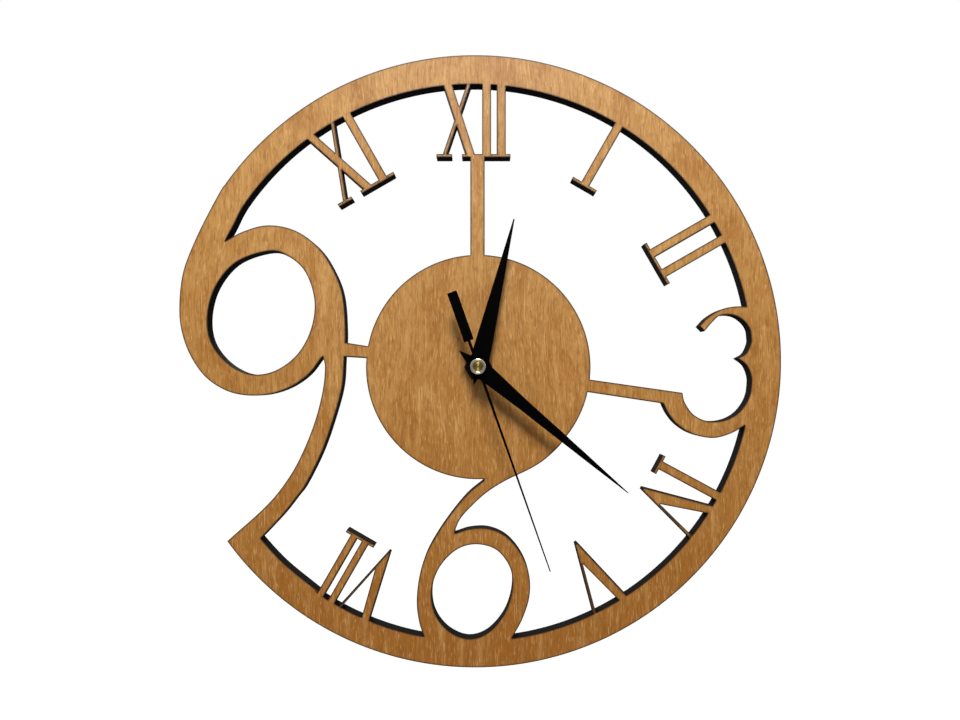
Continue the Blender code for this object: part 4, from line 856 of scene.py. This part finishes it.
def threaded_bush():
    """A flanged tube. The thread fades in past the flange and fades out at the chamfered end."""
    bm = bmesh.new()
    start = FLANGE_END + PLAIN_NECK
    steps = round((BUSH_END - start) / THREAD_PITCH * THREAD_STEPS)
    rings = turned(bm, [(BUSH_BORE, -bush_high.y), (FLANGE_RADIUS, -bush_high.y), (FLANGE_RADIUS, FLANGE_END),
                        (BUSH_RADIUS - THREAD_DEPTH, FLANGE_END)])
    for step in range(steps + 1):
        depth = start + (BUSH_END - start) * step / steps
        room = min(depth - start, END_FADE * (BUSH_END - depth)) / THREAD_PITCH
        ring = []
        for k in range(FACETS):
            climb = (depth / THREAD_PITCH - k / FACETS) % 1
            crest = 1 - abs(2 * climb - 1)
            radius = BUSH_RADIUS - THREAD_DEPTH * (1 - min(crest, max(room, 0)))
            angle = 2 * math.pi * k / FACETS
            ring.append(bm.verts.new((radius * math.cos(angle), -depth, radius * math.sin(angle))))
        rings.append(ring)
    bridged(bm, rings[3:])
    ends = turned(bm, [(BUSH_BORE, BUSH_END), (BUSH_BORE, -bush_high.y)])
    bridged(bm, [rings[-1], ends[0]])
    new_piece("threaded_tube", bm, "threaded_bush", (bright_steel,), THREAD_CORNER)


threaded_bush()


# %% [markdown]
# ## The cell
#
# A cell is a steel can in a printed sleeve. The sleeve shrinks over the can's shoulder and leaves a ring of
# bare steel at each end: the raised button of the plus, and the flat of the minus.

# %% Cell
CELL_RADIUS = (cell_high.z - cell_low.z) / 2
CELL_CENTRE = (0, (cell_low.y + cell_high.y) / 2, (cell_low.z + cell_high.z) / 2)
SLEEVE_LIP, SHOULDER, BUTTON_RADIUS, BUTTON_LENGTH = 1.5 * MM, 0.8 * MM, 2.75 * MM, 1.0 * MM
SUNK, BUTTON_ROUND = 0.1 * MM, 0.3 * MM
BASE_RING_SHARES, BASE_RISE_SHARE = (0.8, 0.75), 0.3


def cell():
    left, right = cell_low.x, cell_high.x
    shoulder_left = left + BUTTON_LENGTH
    lip = CELL_RADIUS - SLEEVE_LIP
    wrap = [(lip, shoulder_left)]
    front_corner, back_corner = (CELL_RADIUS, shoulder_left), (CELL_RADIUS, right)
    wrap += rounded_corner((lip, shoulder_left), front_corner, back_corner, SHOULDER, 6)
    wrap += rounded_corner((CELL_RADIUS, left), back_corner, (lip, right), SHOULDER, 6)
    wrap += [(lip, right)]
    floor_left, floor_right = shoulder_left + SUNK, right - BASE_RISE_SHARE * SUNK
    button = [(lip, shoulder_left), (lip, floor_left), (BUTTON_RADIUS + SUNK, floor_left)]
    button += rounded_corner((BUTTON_RADIUS, right), (BUTTON_RADIUS, left), (0, left), BUTTON_ROUND)
    button += [(ON_AXIS, left)]
    base = [(lip, right), (lip, right - SUNK), (lip * BASE_RING_SHARES[0], right - SUNK),
            (lip * BASE_RING_SHARES[1], floor_right), (ON_AXIS, floor_right)]
    bm = bmesh.new()
    for profile, material in ((wrap, 0), (button, 1), (base, 1)):
        turned(bm, profile, along="x", place=CELL_CENTRE, material=material)
    new_piece("sleeved_cell", bm, "battery", (sleeve, bright_steel))


cell()


# %% [markdown]
# ## Softening the moulded, pressed and cut pieces
#
# The solids of the other pieces have the right shape already, but their edges are knife-sharp, which nothing
# real is. A copy of each solid has its flat faces joined again, and on most of them a narrow bevel goes round
# its edges: a moulded part has a radius of a tenth or two, and a pressed hand a burr that the paint rounds
# over. The wheels, the pinion and the arbor keep sharp edges. Points that the bevel leaves on the same spot
# are joined, so that no sliver of a face stays behind.

# %% Softened solids
SEAM_ANGLE = math.radians(1)
BEVEL_SEGMENTS = 2


def welded_copy(node):
    """The solid's mesh with its split points joined and its flat faces whole."""
    bm = bmesh.new()
    bm.from_mesh(nodes[node].data)
    bmesh.ops.remove_doubles(bm, verts=bm.verts, dist=WELD)
    bmesh.ops.dissolve_limit(bm, angle_limit=SEAM_ANGLE, verts=bm.verts, edges=bm.edges)
    for face in bm.faces:
        face.material_index = 0
    return bm


def bevelled(piece, edge_mm):
    """Puts a bevel on the piece's corners, and joins the points that it leaves on one spot."""
    bevel = piece.modifiers.new("edge radius", "BEVEL")
    bevel.width, bevel.segments, bevel.angle_limit = edge_mm * MM, BEVEL_SEGMENTS, CORNER_ANGLE
    piece.modifiers.new("corners joined", "WELD").merge_threshold = WELD


def softened(node, material, edge_mm):
    """A copy of a solid with bevelled edges, in its place."""
    piece = new_piece(node + "_soft", welded_copy(node), node, (material,))
    if edge_mm:
        bevelled(piece, edge_mm)
        piece.modifiers.move(0, len(piece.modifiers) - 1)


for node, material, edge_mm in (
    ("hour_hand", black_paint, 0.08), ("minute_hand", black_paint, 0.08), ("second_hand", black_paint, 0.06),
    ("movement_case", black_abs, 0.15), ("setting_knob", black_abs, 0.15), ("rubber_washer", rubber, 0.12),
    ("second_wheel", acetal, 0), ("third_wheel", acetal, 0), ("intermediate_wheel", acetal, 0),
    ("centre_wheel", acetal, 0), ("motion_wheel", acetal, 0), ("hour_wheel", acetal, 0),
    ("rotor_pinion", acetal, 0), ("rotor_magnet", ferrite, 0.08), ("gear_plate", acetal, 0.08),
    ("minute_arbor", bright_steel, 0), ("stator_plate", bright_steel, 0.04),
    ("coil_core", bright_steel, 0.04), ("coil_bobbin", acetal, 0.05), ("coil_winding", copper, 0.1),
    ("circuit_board", green_board, 0.05), ("driver_chip", epoxy, 0.08),
    ("quartz_crystal", bright_steel, 0.15), ("positive_contact", bright_steel, 0.05),
    ("negative_contact", bright_steel, 0.05),
):
    softened(node, material, edge_mm)


# %% [markdown]
# ## The rear cover
#
# A cover's mould carries the few marks that a user needs: which way the knob turns, and a plus and a minus
# beside the cell. They are sunk into the face, so that the clock still sits flat on the wall. Here each
# mark is a thin closed solid, cut out of the cover with a boolean modifier that is applied at once.

# %% Sunk marks
MARK_DEPTH, MARK_WIDTH = 0.3 * MM, 0.6 * MM
knob_low, knob_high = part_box("setting_knob")
KNOB_X, KNOB_Z = (knob_low.x + knob_high.x) / 2, (knob_low.z + knob_high.z) / 2
cover_low, cover_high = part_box("rear_cover")
ARROW_RADIUS, ARROW_SWEEP, ARROW_STEPS = 7.2 * MM, (100, 170), 10
HEAD_HALF_MM, HEAD_TURN = 1.1, 0.26
SIGN_RISE, SIGN_INSET, SIGN_HALF = 3.2 * MM, 6 * MM, 1.8 * MM
COVER_EDGE_MM = 0.15


def prism(bm, outline):
    """A thin solid through the cover's back face, with this outline in (x, z)."""
    rings = [[bm.verts.new((x, y, z)) for x, z in outline] for y in (-MARK_DEPTH, MARK_DEPTH)]
    bm.faces.new(rings[0])
    bm.faces.new(rings[1][::-1])
    bridged(bm, rings)


def mark_solids():
    bm = bmesh.new()
    start, end = map(math.radians, ARROW_SWEEP)
    for turned_by in (0, math.radians(-90)):
        arc = [start + turned_by + (end - start) * k / ARROW_STEPS for k in range(ARROW_STEPS + 1)]
        edge = [(ARROW_RADIUS + side * MARK_WIDTH / 2, a)
                for side, line in ((1, arc), (-1, arc[::-1])) for a in line]
        prism(bm, [(KNOB_X + r * math.cos(a), KNOB_Z + r * math.sin(a)) for r, a in edge])
        tip = start + turned_by if turned_by else end
        way = -1 if turned_by else 1
        head = ((-HEAD_HALF_MM, 0), (HEAD_HALF_MM, 0), (0, way * HEAD_TURN))
        prism(bm, [(KNOB_X + (ARROW_RADIUS + out * MM) * math.cos(tip + on),
                    KNOB_Z + (ARROW_RADIUS + out * MM) * math.sin(tip + on)) for out, on in head])
    sign_z = cover_low.z + SIGN_RISE
    level, upright = (SIGN_HALF, MARK_WIDTH / 2), (MARK_WIDTH / 2, SIGN_HALF)
    signs = ((cover_low.x + SIGN_INSET, (level, upright)), (cover_high.x - SIGN_INSET, (level,)))
    for x, strokes in signs:
        for across, up in strokes:
            corners = ((-across, -up), (across, -up), (across, up), (-across, up))
            prism(bm, [(x + dx, sign_z + dz) for dx, dz in corners])
    bmesh.ops.recalc_face_normals(bm, faces=bm.faces)
    mesh = bpy.data.meshes.new("cover marks")
    bm.to_mesh(mesh)
    bm.free()
    cutter = bpy.data.objects.new("cover marks", mesh)
    bpy.context.collection.objects.link(cutter)
    return cutter


# %% Rear cover
def rear_cover(cutter):
    mesh = bpy.data.meshes.new("cover blank")
    bm = welded_copy("rear_cover")
    bm.to_mesh(mesh)
    bm.free()
    blank = bpy.data.objects.new("cover blank", mesh)
    bpy.context.collection.objects.link(blank)
    bevelled(blank, COVER_EDGE_MM)
    cut = blank.modifiers.new("marks", "BOOLEAN")
    cut.operation, cut.object, cut.solver, cut.use_self = "DIFFERENCE", cutter, "EXACT", True
    finished = blank.evaluated_get(bpy.context.evaluated_depsgraph_get())
    bm = bmesh.new()
    bm.from_mesh(finished.to_mesh())
    for face in bm.faces:
        face.material_index = 0
    for scrap in (blank, cutter):
        bpy.data.objects.remove(scrap)
    new_piece("moulded_cover", bm, "rear_cover", (black_abs,))


rear_cover(mark_solids())


# %% [markdown]
# ## Light, floor and background
#
# The photograph has one large soft lamp above, and a white background. The background's white is given only
# to what the camera sees and to reflections, so it adds no light to the object. The side where the
# photographer stands is dim, and metal mirrors that too, or it would look as flat as paint. The floor is far
# below the hanging clock, out of the picture. It glows a little for the camera alone, which makes it as white
# as the background and leaves the clock's shadow on it. A weak lamp behind the clock lights its back.

# %% White room
ROOM_LIGHT = 0.21
WHITE_SIDE = (0, 0.75, 0.66)
DIM_UNTIL, WHITE_FROM = -0.6, 0.3
world = bpy.data.worlds.new("white room")
bpy.context.scene.world = world
world.use_nodes = True
room = world.node_tree
rays = add(room, "LightPath")
direction = add(room, "TexCoord").outputs["Generated"]
towards = add(room, "VectorMath", {0: direction, 1: WHITE_SIDE}, operation="DOT_PRODUCT")
mirrored = add(room, "MapRange", {"Value": towards.outputs["Value"], "From Min": DIM_UNTIL,
                                  "From Max": WHITE_FROM}, interpolation_type="SMOOTHSTEP")
mirrored = add(room, "Math", {0: rays.outputs["Is Glossy Ray"], 1: mirrored}, operation="MULTIPLY")
seen = add(room, "Math", {0: rays.outputs["Is Camera Ray"], 1: mirrored}, operation="MAXIMUM")
seen = add(room, "Math", {0: seen, 1: rays.outputs["Is Transmission Ray"]}, operation="MAXIMUM")
level = add(room, "MapRange", {"Value": seen, "To Min": ROOM_LIGHT})
wire(room.nodes["Background"], {"Color": (1, 1, 1, 1), "Strength": level})

# %% Floor
FLOOR_DROP, FLOOR_HALF = 0.9, 12
GLOW_NEAR, GLOW_FAR = 0.54, 0.83
GLOW_START, GLOW_END = 0.8, 3.0


def pale_paint():
    material, tree, shader, place = new_material("matt white paint", Roughness=0.9,
                                                 Base_Color=linear("#F0F0EE"))
    away = add(tree, "VectorMath", {0: place}, operation="LENGTH").outputs["Value"]
    glow = add(tree, "MapRange", {"Value": away, "From Min": GLOW_START, "From Max": GLOW_END,
                                  "To Min": GLOW_NEAR, "To Max": GLOW_FAR})
    to_camera = add(tree, "LightPath").outputs["Is Camera Ray"]
    glow = add(tree, "Math", {0: glow, 1: to_camera}, operation="MULTIPLY")
    wire(shader, {"Emission Color": (1, 1, 1, 1), "Emission Strength": glow})
    return material


floor_mesh = bpy.data.meshes.new("floor")
corners = ((-1, -1), (1, -1), (1, 1), (-1, 1))
floor_mesh.from_pydata([(x * FLOOR_HALF, y * FLOOR_HALF, 0) for x, y in corners], [], [(0, 1, 2, 3)])
floor_mesh.materials.append(pale_paint())
floor = bpy.data.objects.new("floor", floor_mesh)
floor.location.z = cad_box[0].z - FLOOR_DROP
bpy.context.collection.objects.link(floor)


# %% Lamps
def soft_lamp(name, place, size, power):
    """A round lamp that faces the clock."""
    light = bpy.data.lights.new(name, "AREA")
    light.shape, light.size, light.energy = "DISK", size, power
    lamp = bpy.data.objects.new(name, light)
    lamp.location = place
    lamp.rotation_euler = (-Vector(place)).to_track_quat("-Z", "Y").to_euler()
    bpy.context.collection.objects.link(lamp)
    print(name, round(Vector(place).length, 2), "m away")


soft_lamp("key lamp", (0.0, -0.80, 1.0), size=0.46, power=22)
soft_lamp("back lamp", (-0.5, 1.0, 0.7), size=0.6, power=12)
